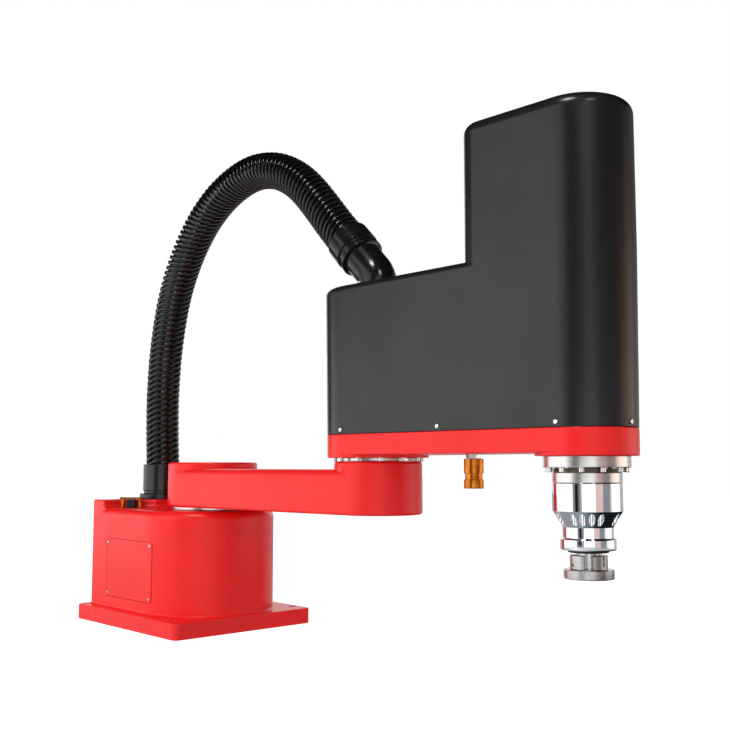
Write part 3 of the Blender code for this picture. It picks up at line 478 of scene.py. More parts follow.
def makeHose(look):
    foot, outer, core, sink = look["foot"], look["radius"], look["core"], look["ribSink"]
    knots = [Vector((x * mm, 0, (foot + (z - foot) * look["settle"]) * mm)) for x, z in look["route"]]
    route = smoothRoute(knots, 10)
    length = sum((b - a).length for a, b in zip(route, route[1:]))
    curve = bpy.data.curves.new("hoseLine", "CURVE")
    curve.dimensions = "3D"
    spline = curve.splines.new("POLY")
    spline.points.add(len(route) - 1)
    for point, place in zip(spline.points, route):
        point.co = (*place, 1)

    add, own, keys = groupWith("spiralConduit", {
        "Core radius": "Float", "Core sides": "Int", "Core rows": "Int", "Lead": "Float", "Starts": "Int",
        "Rib circle": "Float", "Rib width": "Float", "Rib top": "Float", "Rib height": "Float",
        "Rib corner": "Float", "Points": "Int", "Finish": "Material",
    })
    base = add("GeometryNodeResampleCurve", {"Curve": own["Geometry"], "Count": own["Points"]})
    copies = add("GeometryNodeDuplicateElements", {"domain": "SPLINE", 0: base, "Amount": own["Starts"]})
    hold = add("GeometryNodeCaptureAttribute", {"domain": "POINT"})
    links = hold.id_data.links
    links.new(copies.outputs["Geometry"], hold.inputs["Geometry"])
    for label, kind, source in (
        ("along", "FLOAT", add("GeometryNodeSplineParameter").outputs["Length"]),
        ("tangent", "VECTOR", add("GeometryNodeInputTangent").outputs[0]),
        ("start", "INT", copies.outputs["Duplicate Index"]),
    ):
        hold.capture_items.new(kind, label)
        links.new(source, hold.inputs[label])
    own.update({label: hold.outputs[label] for label in ("along", "tangent", "start")})
    for label, operation, first, second in (
        ("turns", "DIVIDE", "along", "Lead"), ("share", "DIVIDE", "start", "Starts"),
        ("wound", "SUBTRACT", "share", "turns"), ("angle", "MULTIPLY", "wound", fullTurn),
        ("cosine", "COSINE", "angle", 0.0), ("sine", "SINE", "angle", 0.0),
    ):
        own[label] = add("ShaderNodeMath", {
            "operation": operation, 0: own.get(first, first), 1: own.get(second, second),
        })
    across = add("ShaderNodeVectorMath", {
        "operation": "CROSS_PRODUCT", 0: own["tangent"], 1: (0.0, 1.0, 0.0),
    })
    lifted = add("ShaderNodeVectorMath", {"operation": "SCALE", 0: across, "Scale": own["cosine"]})
    sideways = add("ShaderNodeCombineXYZ", {1: own["sine"]})
    outward = add("ShaderNodeVectorMath", {"operation": "ADD", 0: lifted, 1: sideways})
    offset = add("ShaderNodeVectorMath", {"operation": "SCALE", 0: outward, "Scale": own["Rib circle"]})
    spiral = add("GeometryNodeSetPosition", {"Geometry": hold.outputs["Geometry"], "Offset": offset})
    facing = add("GeometryNodeSetCurveNormal", {"mode": "FREE", "Curve": spiral, "Normal": outward})
    profile = add("GeometryNodeCurvePrimitiveQuadrilateral", {
        "mode": "TRAPEZOID", "Offset": 0.0, "Bottom Width": own["Rib width"], "Top Width": own["Rib top"],
        "Height": own["Rib height"],
    })
    rounded = add("GeometryNodeFilletCurve", {
        "Limit Radius": True, "Curve": profile, "Radius": own["Rib corner"],
    })
    ribs = add("GeometryNodeCurveToMesh", {"Fill Caps": True, "Curve": facing, "Profile Curve": rounded})
    circle = add("GeometryNodeCurvePrimitiveCircle", {
        "Resolution": own["Core sides"], "Radius": own["Core radius"],
    })
    line = add("GeometryNodeResampleCurve", {"Curve": own["Geometry"], "Count": own["Core rows"]})
    tube = add("GeometryNodeCurveToMesh", {"Fill Caps": True, "Curve": line, "Profile Curve": circle})
    both = add("GeometryNodeJoinGeometry", {0: ribs})
    links.new(tube.outputs[0], both.inputs[0])
    smooth = add("GeometryNodeSetShadeSmooth", {"Geometry": both})
    hose = growPiece("conduitHose", addObject("hoseLine", curve), add, smooth, own["Finish"], keys, {
        "Core radius": core * mm, "Core sides": look["coreSides"], "Core rows": look["coreRows"],
        "Lead": look["lead"] * mm, "Starts": look["starts"], "Rib circle": (outer + core - sink) / 2 * mm,
        "Rib width": look["ribWidth"] * mm, "Rib top": look["ribTop"] * mm,
        "Rib height": (outer - core + sink) * mm, "Rib corner": look["ribCorner"] * mm,
        "Points": int(length / (look["lead"] * mm) * look["stepsPerTurn"]), "Finish": conduitNylon,
    })
    print("hose", round(length, 4), "m,", len(hose.data.polygons), "faces")
    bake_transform(hose)
    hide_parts("conduit_hose")


makeHose(hoseLook)

# Base casting with its raised deck, and the access panel on its side
baseLook = {
    "flange": (-173.2, 81, 106), "flangeThick": 20, "flangeCorner": 8, "flangeEdges": (0.6, 1.2),
    "boltHole": 4.5, "boltChamfer": 1.2, "bolts": ((-159.2, 98), (54, 95)),
    "back": -162, "front": 76, "half": 91, "top": 152, "edge": 10, "foot": 3, "backCorner": 3,
    "deckTop": 163, "deckEdge": 2.5, "deckFoot": 6, "deckSide": (-131, 66, 14), "deckNose": (-95, 30, 12),
    "wall": 9, "roof": 20, "bore": 44, "hoseHole": (-129, 16),
    "panelCentre": (-59.7, 73.3), "panelSize": (116, 77), "panelThick": 3, "panelSeat": 3.3,
    "pocketSize": (117, 78), "openingSize": (102, 63), "panelCorners": (2, 2.5),
}


def deckSection(inset):
    grow = max(0.0, -inset)
    lift = 0.414 * grow  # the sloped side moves out square to itself
    back, half, corner = baseLook["back"], baseLook["half"], baseLook["backCorner"]
    sideX, sideY, sideCorner = baseLook["deckSide"]
    noseX, noseY, noseCorner = baseLook["deckNose"]
    side, nose = sideX + grow, noseX + grow
    halfOutline = ((back, half), (side, half), (side, sideY + lift), (nose, noseY + lift))
    radii = (corner, corner, sideCorner - grow, noseCorner + grow)
    corners = [(x, -y) for x, y in halfOutline] + list(reversed(halfOutline))
    return roundedOutline(corners, radii + radii[::-1], max(inset, 0.0), 10)


def plateAlongY(name, centre, size, span, corner, edge=0.0):
    x, z = centre
    wide, tall = size[0] / 2, size[1] / 2
    outline = ((x - wide, z - tall), (x + wide, z - tall), (x + wide, z + tall), (x - wide, z + tall))
    turn = Matrix.Rotation(math.pi / 2, 4, "X")  # the outline's height becomes Z, the levels run to -Y
    levels = edgeLevels(-span[1], -span[0], 0, edge, steps=4)
    return skinPiece(name, boxSection(outline, corner), levels, turn)


def makeBase(look):
    thick, top, half, foot = look["flangeThick"], look["top"], look["half"], look["foot"]
    casting = skinPiece(
        "baseCasting", boxSection(boxCorners(*look["flange"]), look["flangeCorner"], 12),
        edgeLevels(0, thick, *look["flangeEdges"], steps=5),
    )
    bodyOutline = boxCorners(look["back"], look["front"], half)
    bodyRadii = (look["backCorner"], half - 0.05, half - 0.05, look["backCorner"])

    def bodySection(inset):
        return roundedOutline(bodyOutline, bodyRadii, inset, (10, 48, 48, 10))

    column = skinPiece("column", bodySection, [
        (thick - 2, -foot), *edgeLevels(thick - 0.01, top, -foot, look["edge"], steps=14),
    ])
    deck = skinPiece("deck", deckSection, [
        (top - look["edge"] + 1, 0.1), (top - 3, 0.1), (top - 2.9, -look["deckFoot"]),
        *edgeLevels(top - 0.02, look["deckTop"], -look["deckFoot"], look["deckEdge"], 0.1, 9),
    ])
    carve(casting, [column, deck], "UNION")
    cavityTop, past = top - look["roof"], 10  # how far a cutter runs past the face that it opens
    holeX, holeRadius = look["hoseHole"]
    centre, corner = look["panelCentre"], look["panelCorners"][1]
    cutters = [
        skinPiece("cavity", bodySection, [(-past / 2, look["wall"]), (cavityTop, look["wall"])]),
        drilled(0, 0, look["bore"], 100, 170),
        drilled(holeX, 0, holeRadius, 120, 180, 48),
        plateAlongY("pocket", centre, look["pocketSize"], (-100, look["panelSeat"] - half), corner),
        plateAlongY("opening", centre, look["openingSize"], (-100, look["roof"] - half), corner),
    ]
    hole, chamfer = look["boltHole"], look["boltChamfer"]
    wide = hole + chamfer
    profile = [
        (0, -past), (hole, -past), (hole, thick - chamfer / 2), (wide, thick + chamfer / 2),
        (wide, 2 * thick), (0, 2 * thick),
    ]
    for x, y in look["bolts"]:
        for side in (-1, 1):
            cutters.append(turnedPiece("boltHole", profile, (x, side * y, 0), steps=40))
    carve(casting, cutters)
    dress(casting, redEnamel, "base", "base_casting", "red_paint")
    span = (-half, look["panelThick"] - half)
    panel = plateAlongY("accessPanel", centre, look["panelSize"], span, look["panelCorners"][0], 0.5)
    dress(panel, redEnamel, "base", "base_access_panel", "red_paint")


makeBase(baseLook)

# Lower arm
armLook = {
    "bottom": 156.5, "top": 205.8, "bossTop": 214.5, "edge": 7.5, "foot": 3, "bossEdge": 3,
    "radiusOne": 59.5, "radiusTwo": 49, "pocket": 38.3, "pocketBottom": 172, "bossInset": 0.12,
}


def makeLowerArm(look):
    bottom, one, two, inset = look["bottom"], look["radiusOne"], look["radiusTwo"], look["bossInset"]
    levels = edgeLevels(bottom, look["top"], look["foot"], look["edge"], steps=10)
    arm = skinPiece("lowerArm", linkSection(0, one, linkOne, two), levels)
    bossLevels = [
        (bottom + 9, inset), *edgeLevels(bottom + 10, look["bossTop"], 0, look["bossEdge"], inset),
    ]
    spots = ((0, one), (linkOne, two))
    carve(arm, [skinPiece("boss", roundSection(*spot), bossLevels) for spot in spots], "UNION")
    carve(arm, [drilled(linkOne, 0, look["pocket"], look["pocketBottom"], 250, 80)])
    dress(arm, redEnamel, "lower_arm", "lower_arm", "red_paint")


makeLowerArm(armLook)

# Upper arm: red plate, black cover with its tower
upperLook = {
    "radiusTwo": 56.5, "radiusThree": 47, "bossBottom": 218.5, "bottom": 221.5, "top": 243.5, "edge": 1.2,
    "bossInset": 0.12, "bores": (12, 26.3),
    "coverFoot": 243.8, "footEdge": 0.5, "ledgeTop": 406, "ledgeEdge": 7.5, "towerBack": 491.3,
    "towerTop": 544.8, "towerEdge": 13, "towerCorner": 21, "towerInset": 0.02, "wall": 3.2, "flare": 2,
}


def makePlate(look):
    one, two, edge = look["radiusTwo"], look["radiusThree"], look["edge"]
    levels = edgeLevels(look["bottom"], look["top"], edge, edge, steps=5)
    plate = skinPiece("upperArmPlate", linkSection(linkOne, one, quillX, two), levels)
    bossLevels = edgeLevels(look["bossBottom"], look["top"] - 3, edge, 0, look["bossInset"], 5)
    spots = ((linkOne, one), (quillX, two))
    carve(plate, [skinPiece("boss", roundSection(*spot), bossLevels) for spot in spots], "UNION")
    bores = zip((linkOne, quillX), look["bores"])
    carve(plate, [drilled(x, 0, radius, 200, 260, 72) for x, radius in bores])
    dress(plate, redEnamel, "upper_arm", "upper_arm_plate", "red_paint")


def makeCover(look):
    size = (linkOne, look["radiusTwo"], quillX, look["radiusThree"])
    hood = linkSection(*size)
    tower = linkSection(*size, back=look["towerBack"], corner=look["towerCorner"])
    foot, ledge, top, wall = look["coverFoot"], look["ledgeTop"], look["towerTop"], look["wall"]
    start = ledge - 3 * look["ledgeEdge"]

    def flared(levels):
        return [(z, inset - look["flare"] * min((z - foot) / (ledge - foot), 1)) for z, inset in levels]

    towerLevels = edgeLevels(start, top, 0, look["towerEdge"], look["towerInset"], 16)
    towerLevels.insert(1, (ledge, look["towerInset"]))
    cover = skinPiece("upperArmCover", hood, flared(
        edgeLevels(foot, ledge, look["footEdge"], look["ledgeEdge"], steps=12)
    ))
    carve(cover, [skinPiece("tower", tower, flared(towerLevels))], "UNION")
    hoodInside = edgeLevels(foot - 5, ledge - wall, 0, look["ledgeEdge"] - wall, wall, 4)
    towerInside = edgeLevels(start - 5, top - wall, 0, look["towerEdge"] - wall, wall + 0.2, 4)
    carve(cover, [
        skinPiece("towerInside", tower, flared(towerInside)),
        skinPiece("hoodInside", hood, flared(hoodInside)),
    ])
    dress(cover, satinAbs, "upper_arm", "upper_arm_cover", "cover_black")


makePlate(upperLook)
makeCover(upperLook)
print("castings and cover made")

# Turned pieces, in the order they are made: profile, the axis' place, whether the profile closes
# on itself, steps round, then finish, body, the CAD node it stands for and its slot
ringLook = {
    "jointOneRing": ((
        (0, 156.2), (54.5, 156.2, 0.4), (54.5, 152.5, 0.4), (42, 152.5),
        (42, 134), (22, 134), (22, 112.3), (0, 112.3),
    ), 0, False, 128, turnedSteel, "lower_arm", "j1_output_ring", "satin_steel"),
    "jointTwoRing": ((
        (41.7, 218.2, 0.3), (41.7, 215, 0.4), (18, 215), (18, 190.3), (9, 190.3), (9, 218.2),
    ), linkOne, True, 128, turnedSteel, "upper_arm", "j2_output_ring", "satin_steel"),
    "quillFlange": ((
        (39.3, 218.2, 0.4), (39.3, 208, 0.8), (20, 208), (20, 218.2),
    ), quillX, True, 160, turnedSteel, "upper_arm", "quill_flange", "satin_steel"),
    "bellRing": ((
        (31.4, 203.5, 0.5), (31.4, 194.5, 0.5), (19.2, 194.5), (19.2, 203.5),
    ), quillX, True, 160, turnedSteel, "quill", "bell_ring", "satin_steel"),
    # the neck wears the dark steel that paints the recess's shade
    "bellRingNeck": ((
        (29.8, 207.5), (29.8, 203.2), (19.3, 203.2), (19.3, 207.5),
    ), quillX, True, 120, neckShadeSteel, "quill", None, "satin_steel"),
}
sealLook = {
    "shaftSeal": ((
        (10.4, 139.5), (14.5, 139.5), (14.5, 134.4), (18.2, 134.4, 0.3), (18.2, 132.3, 0.6),
        (10.4, 132.3, 0.4),
    ), quillX, True, 96, nitrileRubber, "quill", "shaft_seal", "seal_rubber"),
}


def makeTurned(looks, tilts=None):
    for name, (profile, place, closed, steps, *wear) in looks.items():
        place = place if isinstance(place, tuple) else (place, 0, 0)
        dress(turnedPiece(name, profile, place, closed, steps, (tilts or {}).get(name, Matrix())), *wear)


makeTurned(ringLook)

# The fluted chrome bell, and the tool hub and flange below it
bellLook = {
    "profile": (
        (31.4, 194.2, 0.5), (31.4, 169.2, 0.6), (22.6, 155, 0.6), (22.6, 145, 1.2), (24.8, 144.4, 0.9),
        (24.8, 134.5, 1.2), (14.8, 134.5, 0.6), (14.8, 158), (19.4, 158), (19.4, 194.2, 0.4),
    ),
    "fluteGroups": 4, "groupFlutes": 4, "fluteStart": -82.5, "flutePitch": 17.3,  # the last two in degrees
    "fluteCircle": 27, "fluteReach": 6.8, "fluteWide": 5.8, "fluteTop": 167.4, "fluteBottom": 145.6,
}
toolLook = {
    "hub": ((16.8, 130, 0.7), (16.8, 117.8, 0.3), (10.3, 117.8), (10.3, 130, 0.3)), "hubRadius": 16.8,
    "cuts": (  # size, direction in degrees, height: the slit, the slot and the pinch screw's hole
        ((16, 7.6, 30), -55, 124), ((7, 1.9, 16), -4, 128.4), ((7, 2.6, 2.6), -112, 121.4),
    ),
    "flange": (
        (0, 109.1), (22.4, 109.1, 0.9), (22.4, 117.5, 0.9), (10.3, 117.5), (10.3, 112.2), (0, 112.2),
    ),
    "hole": ((0, 100), (2.6, 100), (2, 109.9), (2, 115.1), (0, 115.1)), "holeCircle": 16.5, "holes": 4,
}


def makeBell(look):
    body = turnedPiece("bellBody", look["profile"], (quillX, 0, 0), True, 160)
    add, own, keys = groupWith("fluteRing", {
        "Groups": "Int", "Group flutes": "Int", "Circle": "Float", "Centre": "Vector", "Start": "Float",
        "Pitch": "Float", "Size": "Vector", "Finish": "Material",
    })
    own["index"] = add("GeometryNodeInputIndex").outputs[0]
    for label, operation, first, second in (
        ("count", "MULTIPLY", "Groups", "Group flutes"), ("middle", "ADD", "index", 0.5),
        ("passed", "DIVIDE", "middle", "Group flutes"), ("group", "FLOOR", "passed", 0.0),
        ("before", "MULTIPLY", "group", "Group flutes"), ("inGroup", "SUBTRACT", "index", "before"),
        ("share", "DIVIDE", "group", "Groups"), ("groupTurn", "MULTIPLY", "share", fullTurn),
        ("started", "ADD", "Start", "groupTurn"), ("ownTurn", "MULTIPLY", "inGroup", "Pitch"),
        ("turn", "ADD", "started", "ownTurn"), ("cosine", "COSINE", "turn", 0.0),
        ("sine", "SINE", "turn", 0.0),
    ):
        own[label] = add("ShaderNodeMath", {
            "operation": operation, 0: own.get(first, first), 1: own.get(second, second),
        })
    line = add("GeometryNodeMeshLine", {"Count": own["count"]})
    spoke = add("ShaderNodeCombineXYZ", {0: own["cosine"], 1: own["sine"]})
    reached = add("ShaderNodeVectorMath", {"operation": "SCALE", 0: spoke, "Scale": own["Circle"]})
    place = add("ShaderNodeVectorMath", {"operation": "ADD", 0: reached, 1: own["Centre"]})
    placed = add("GeometryNodeSetPosition", {"Geometry": line, "Position": place})
    bar = add("GeometryNodeMeshCylinder", {"Vertices": 28, "Radius": 0.5, "Depth": 1.0})
    angles = add("ShaderNodeCombineXYZ", {2: own["turn"]})
    rotation = add("FunctionNodeEulerToRotation", {0: angles})
    scoops = add("GeometryNodeInstanceOnPoints", {
        "Points": placed, "Instance": bar, "Rotation": rotation, "Scale": own["Size"],
    })
    solidScoops = add("GeometryNodeRealizeInstances", {0: scoops})
    cut = add("GeometryNodeMeshBoolean", {
        "operation": "DIFFERENCE", "solver": "EXACT", "Mesh 1": own["Geometry"], "Mesh 2": solidScoops,
    })
    tall = look["fluteTop"] - look["fluteBottom"]
    size = tuple(length * mm for length in (look["fluteReach"], look["fluteWide"], tall))
    centre = (quillX * mm, 0, (look["fluteTop"] - tall / 2) * mm)
    bell = growPiece("chromeBell", body, add, cut, own["Finish"], keys, {
        "Groups": look["fluteGroups"], "Group flutes": look["groupFlutes"],
        "Start": math.radians(look["fluteStart"]), "Pitch": math.radians(look["flutePitch"]),
        "Circle": look["fluteCircle"] * mm, "Centre": centre, "Size": size, "Finish": hardChrome,
    })
    dress(bell, hardChrome, "quill", "chrome_bell", "chrome", 25)


def makeTool(look):
    hub = turnedPiece("toolHub", look["hub"], (quillX, 0, 0), True, 128)
    cutters = []
    for (long, wide, tall), degrees, height in look["cuts"]:
        turn = math.radians(degrees)
        place = Matrix.Translation(roundPoint(quillX, look["hubRadius"], turn, height))
        place = place @ Matrix.Rotation(turn, 4, "Z")
        section = boxSection(boxCorners(-long / 2, long / 2, wide / 2), 0.1, 2)
        cutters.append(skinPiece("hubCut", section, [(-tall / 2, 0), (tall / 2, 0)], place))
    carve(hub, cutters)
    dress(hub, brushedSteel, "shaft", "tool_hub", "satin_steel")
    flange = turnedPiece("toolFlange", look["flange"], (quillX, 0, 0), False, 128)
    turns = [fullTurn * (index + 0.5) / look["holes"] for index in range(look["holes"])]
    carve(flange, [
        turnedPiece("hole", look["hole"], roundPoint(quillX, look["holeCircle"], turn, 0), steps=24)
        for turn in turns
    ])
    dress(flange, brushedSteel, "shaft", "tool_flange", "satin_steel")


makeBell(bellLook)
makeTurned(sealLook)
makeTool(toolLook)
print("quill made")

# Hose fittings: flanges, collars and the elbow that leans back along the lower arm
elbowLook = {
    "place": (linkOne, 0, 422.5), "lean": math.radians(45), "radius": 22, "bend": 26, "foot": -11.5,
    "reach": 34, "sides": 72, "bendSteps": 18,
}
fittingLook = {
    "lowerHoseFlange": ((
        (16, 163.3), (32, 163.3, 0.6), (32, 170.5, 1.4), (16, 170.5),
    ), -129, True, 96, fittingNylon, "base", "hose_flange_lower", "fitting_black"),
    "lowerHoseCollar": ((
        (27.3, 212, 1.2), (27.3, 175, 0.5), (26.3, 174, 0.3), (26, 174), (26, 170.8, 0.4), (16, 170.8),
        (16, 183), (24.8, 183), (24.8, 212, 0.8),
    ), -129, True, 96, fittingNylon, "base", "hose_collar_lower", "fitting_black"),
    "upperHoseCollar": ((
        (26.5, 71, 1.2), (26.5, 48, 0.5), (24.4, 47.2, 0.3), (24.4, 41.2, 0.3), (26, 40.4, 0.5),
        (26, 36.4, 0.5), (24, 35.6), (22, 34.3), (16, 34.3), (16, 56), (24.8, 56), (24.8, 71, 0.5),
    ), elbowLook["place"], True, 96, fittingNylon, "hose_swivel", "hose_collar_upper", "fitting_black"),
    "upperHoseFlange": ((
        (15, 406.3), (29, 406.3, 0.4), (29, 410.5, 1.2), (15, 410.5),
    ), linkOne, True, 96, fittingNylon, "upper_arm", "hose_flange_upper", "fitting_black"),
}


def makeElbow(look):
    bend, lean, sides = look["bend"], look["lean"], look["sides"]
    reach = bend * math.tan(lean / 2)
    path = [Vector((0, 0, look["foot"])), Vector((0, 0, -reach))]
    for step in range(1, look["bendSteps"] + 1):
        angle = lean * step / look["bendSteps"]
        path.append(Vector((-bend * (1 - math.cos(angle)), 0, bend * math.sin(angle) - reach)))
    path.append(Vector((-math.sin(lean), 0, math.cos(lean))) * look["reach"])
    points = []
    for index, place in enumerate(path):
        ahead = (path[min(index + 1, len(path) - 1)] - path[max(index - 1, 0)]).normalized()
        across = ahead.cross(Vector((0, 1, 0)))
        for turn in range(sides):
            x, y = roundPoint(0, look["radius"], fullTurn * turn / sides)
            points.append(place + across * x + Vector((0, y, 0)))
    faces = ringFaces(len(path), sides) + endFaces(len(points), sides)
    elbow = meshPiece("hoseElbow", points, faces, Matrix.Translation(look["place"]))
    dress(elbow, fittingNylon, "hose_swivel", "hose_elbow", "fitting_black", 50)


makeTurned(fittingLook, {"upperHoseCollar": Matrix.Rotation(-elbowLook["lean"], 4, "Y")})
makeElbow(elbowLook)

# Muffler
neckLook = {"x": 465, "radius": 7.7, "bottom": 217, "top": 221.2, "edge": 0.5}
mufflerLook = {
    "mufflerBody": ((
        (0, 216.7), (9.9, 216.7, 0.7), (9.9, 202, 0.3), (8.7, 202), (8.7, 196), (9.9, 196, 0.3),
        (9.9, 187, 0.7), (0, 187),
    ), neckLook["x"], False, 96, orangeBronze, "upper_arm", "muffler_body", "gold_brass"),
}


def makeNeck(look):
    levels = edgeLevels(look["bottom"], look["top"], look["edge"], 0, steps=3)
    neck = skinPiece("mufflerNeck", roundSection(look["x"], look["radius"], 6, 0.5), levels)
    dress(neck, zincPlate, "upper_arm", "muffler_neck", "plain_steel")


makeNeck(neckLook)
makeTurned(mufflerLook)

# Screws: heads of radius one set on points by one node tree
screwLook = {
    "capHead": {"radius": 1.0, "tall": 1.6, "socket": 0.52, "deep": 0.7},
    "buttonHead": {"radius": 1.0, "tall": 0.55, "socket": 0.4, "deep": 0.3},
    "sides": 18, "under": 0.25, "edge": 0.18,
    "panel": {"x": (-114, -6, -114, -5.6), "z": (107, 107.5, 40.3, 40), "radius": 2.1},
    "cover": {"spots": ((326, 56.6), (463.6, 51.8), (601.4, 47)), "z": 248.2, "radius": 2.3},
    "joint": {  # centre, circle, height, count, first in degrees, way up or down
        "rings": (
            (quillX, 35.4, 208, 12, -2.3, -1), (linkOne, 48, 218.5, 12, 20, -1),
            (linkOne, 25.9, 410.5, 6, 28, 1),
        ),
        "radius": 2.6,
    },
}


def makeHead(name, looks):
    look, sides, edge = looks[name], looks["sides"], looks["edge"]
    radius, tall, socket = look["radius"], look["tall"], look["socket"]
    rings = [
        (radius, -looks["under"], False), (radius, tall - edge, False), (radius - edge, tall, False),
        (socket, tall, True), (socket, tall - look["deep"], True),
    ]
    points = []
    sixth = math.pi / 6
    for radius, height, hexed in rings:
        for turn in range(sides):
            angle = fullTurn * turn / sides
            fold = math.cos(sixth) / math.cos((angle + sixth) % (2 * sixth) - sixth) if hexed else 1
            points.append(roundPoint(0, radius * fold, angle, height))
    return meshPiece(name, points, ringFaces(len(rings), sides) + endFaces(len(points), sides))


def setScrews(name, body, head, radius, spots):
    mesh = bpy.data.meshes.new(name)
    mesh.from_pydata([[value * mm for value in spot] for spot, way in spots], [], [])
    ways = mesh.attributes.new("way", "FLOAT_VECTOR", "POINT")
    for item, (spot, way) in zip(ways.data, spots):
        item.vector = way
    add, own, keys = groupWith(name, {"Head": "Object", "Radius": "Float", "Finish": "Material"})
    headInfo = add("GeometryNodeObjectInfo", {"Object": own["Head"]})
    way = add("GeometryNodeInputNamedAttribute", {"data_type": "FLOAT_VECTOR", "Name": "way"})
    aligned = add("FunctionNodeAlignRotationToVector", {"axis": "Z", "Vector": way})
    heads = add("GeometryNodeInstanceOnPoints", {
        "Points": own["Geometry"], "Instance": headInfo.outputs["Geometry"], "Rotation": aligned,
        "Scale": own["Radius"],
    })
    screws = growPiece(name, addObject(name + "Points", mesh), add, heads, own["Finish"], keys, {
        "Head": head, "Radius": radius, "Finish": zincPlate,
    })
    dress(screws, zincPlate, body, None, "plain_steel", 25)


def makeScrews(looks):
    capHead, buttonHead = [makeHead(name, looks) for name in ("capHead", "buttonHead")]
    look = looks["panel"]
    panelSpots = [((x, -baseLook["half"], z), (0, -1, 0)) for x, z in zip(look["x"], look["z"])]
    setScrews("panelScrews", "base", buttonHead, look["radius"], panelSpots)
    look = looks["cover"]
    lean = math.asin((upperLook["radiusTwo"] - upperLook["radiusThree"]) / linkTwo)
    coverSpots = []
    for x, y in look["spots"]:
        for side in (-1, 1):
            coverSpots.append(((x, side * y, look["z"]), (math.sin(lean), side * math.cos(lean), 0)))
    coverSpots.append(((quillX + upperLook["radiusThree"], 0, look["z"]), (1, 0, 0)))
    setScrews("coverScrews", "upper_arm", buttonHead, look["radius"], coverSpots)
    look = looks["joint"]
    jointSpots = []
    for centre, circle, height, count, first, way in look["rings"]:
        for index in range(count):
            turn = math.radians(360 / count * index + first)
            jointSpots.append((roundPoint(centre, circle, turn, height), (0, 0, way)))
    setScrews("jointScrews", "upper_arm", capHead, look["radius"], jointSpots)
    for head in (capHead, buttonHead):
        bpy.data.objects.remove(head, do_unlink=True)


makeScrews(screwLook)
print("screws set")

# CAD nodes that stay, with their own finishes; the rest of them are machined steel
keptNodes = {
    fittingNylon: ("port_block",), groundShaft: ("spline_shaft",), nitrileRubber: ("j3_belt", "j4_belt"),
    orangeBronze: (
        "port_plate", "port_post_rear", "port_post_front", "air_fitting_upper", "air_fitting_lower",
    ),
    darkAnodised: (
        "power_connector", "signal_connector", "shaft_stop_collar",
        "j1_motor", "j2_motor", "j3_motor", "j4_motor",
    ),
}
for nodeName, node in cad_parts.items():
    if node.hide_render:
        continue
    finish = next((finish for finish, names in keptNodes.items() if nodeName in names), machinedSteel)
    node.data.materials.clear()
    node.data.materials.append(finish)

# Stage: a pale floor, a plinth under the base, soft light and the cards that the metal mirrors
stageLook = {
    "floorZ": -60, "floorReach": 8000, "floorGlow": 0.7, "plinth": (-168, 76, 101), "plinthTop": -0.3,
    "plinthCorner": 8, "plinthGlow": 0.9, "pale": "e8e8e8", "domeLevel": 0.5, "aim": (0.25, 0, 0.25),
    "lamps": {  # watts, place and size in metres
        "key": (45, (-0.2, -2.65, 1.35), 2.0), "fill": (7.5, (2.4, 0.4, 1.4), 1.6),
    },
}


def emptied(item):
    item.use_nodes = True
    item.node_tree.nodes.clear()
    return item, partial(addNode, item.node_tree)


def paleMaterial(name, hexColour, glow):
    material, add = emptied(bpy.data.materials.new(name))
    diffuse = add("ShaderNodeBsdfDiffuse", {"Color": toLinear(hexColour)})
    seen = add("ShaderNodeLightPath").outputs["Is Camera Ray"]
    level = add("ShaderNodeMath", {"operation": "MULTIPLY", 0: seen, 1: glow})
    light = add("ShaderNodeEmission", {"Strength": level})
    both = add("ShaderNodeAddShader", {0: diffuse, 1: light})
    add("ShaderNodeOutputMaterial", {0: both})
    return material


def makeStage(look):
    bpy.context.scene.world, add = emptied(bpy.data.worlds.new("studio"))
    rays = add("ShaderNodeLightPath").outputs
    seen = rays["Is Camera Ray"]
    for kind in ("Is Glossy Ray", "Is Transmission Ray"):
        seen = add("ShaderNodeMath", {"operation": "MAXIMUM", 0: seen, 1: rays[kind]})
    level = add("ShaderNodeMapRange", {0: seen, 3: look["domeLevel"], 4: 1.0})
    sky = add("ShaderNodeBackground", {"Color": (1, 1, 1, 1), "Strength": level})
    add("ShaderNodeOutputWorld", {0: sky})
    floorZ, reach = look["floorZ"], look["floorReach"]
    corners = [(x, y, floorZ) for x, y in boxCorners(-reach, reach, reach)]
    floor = meshPiece("floor", corners, [(0, 1, 2, 3)])
    floor.data.materials.append(paleMaterial("paleFloor", look["pale"], look["floorGlow"]))
    outline = boxSection(boxCorners(*look["plinth"]), look["plinthCorner"])
    plinth = skinPiece("plinth", outline, [(floorZ, 0), (look["plinthTop"], 0)])
    plinth.data.materials.append(paleMaterial("palePlinth", look["pale"], look["plinthGlow"]))
    for label, (watts, place, size) in look["lamps"].items():
        data = bpy.data.lights.new(label, "AREA")
        data.energy = watts
        data.size = size
        lamp = addObject(label, data)
        lamp.visible_glossy = False
        lamp.location = place
        lamp.rotation_euler = (Vector(look["aim"]) - lamp.location).to_track_quat("-Z", "Y").to_euler()


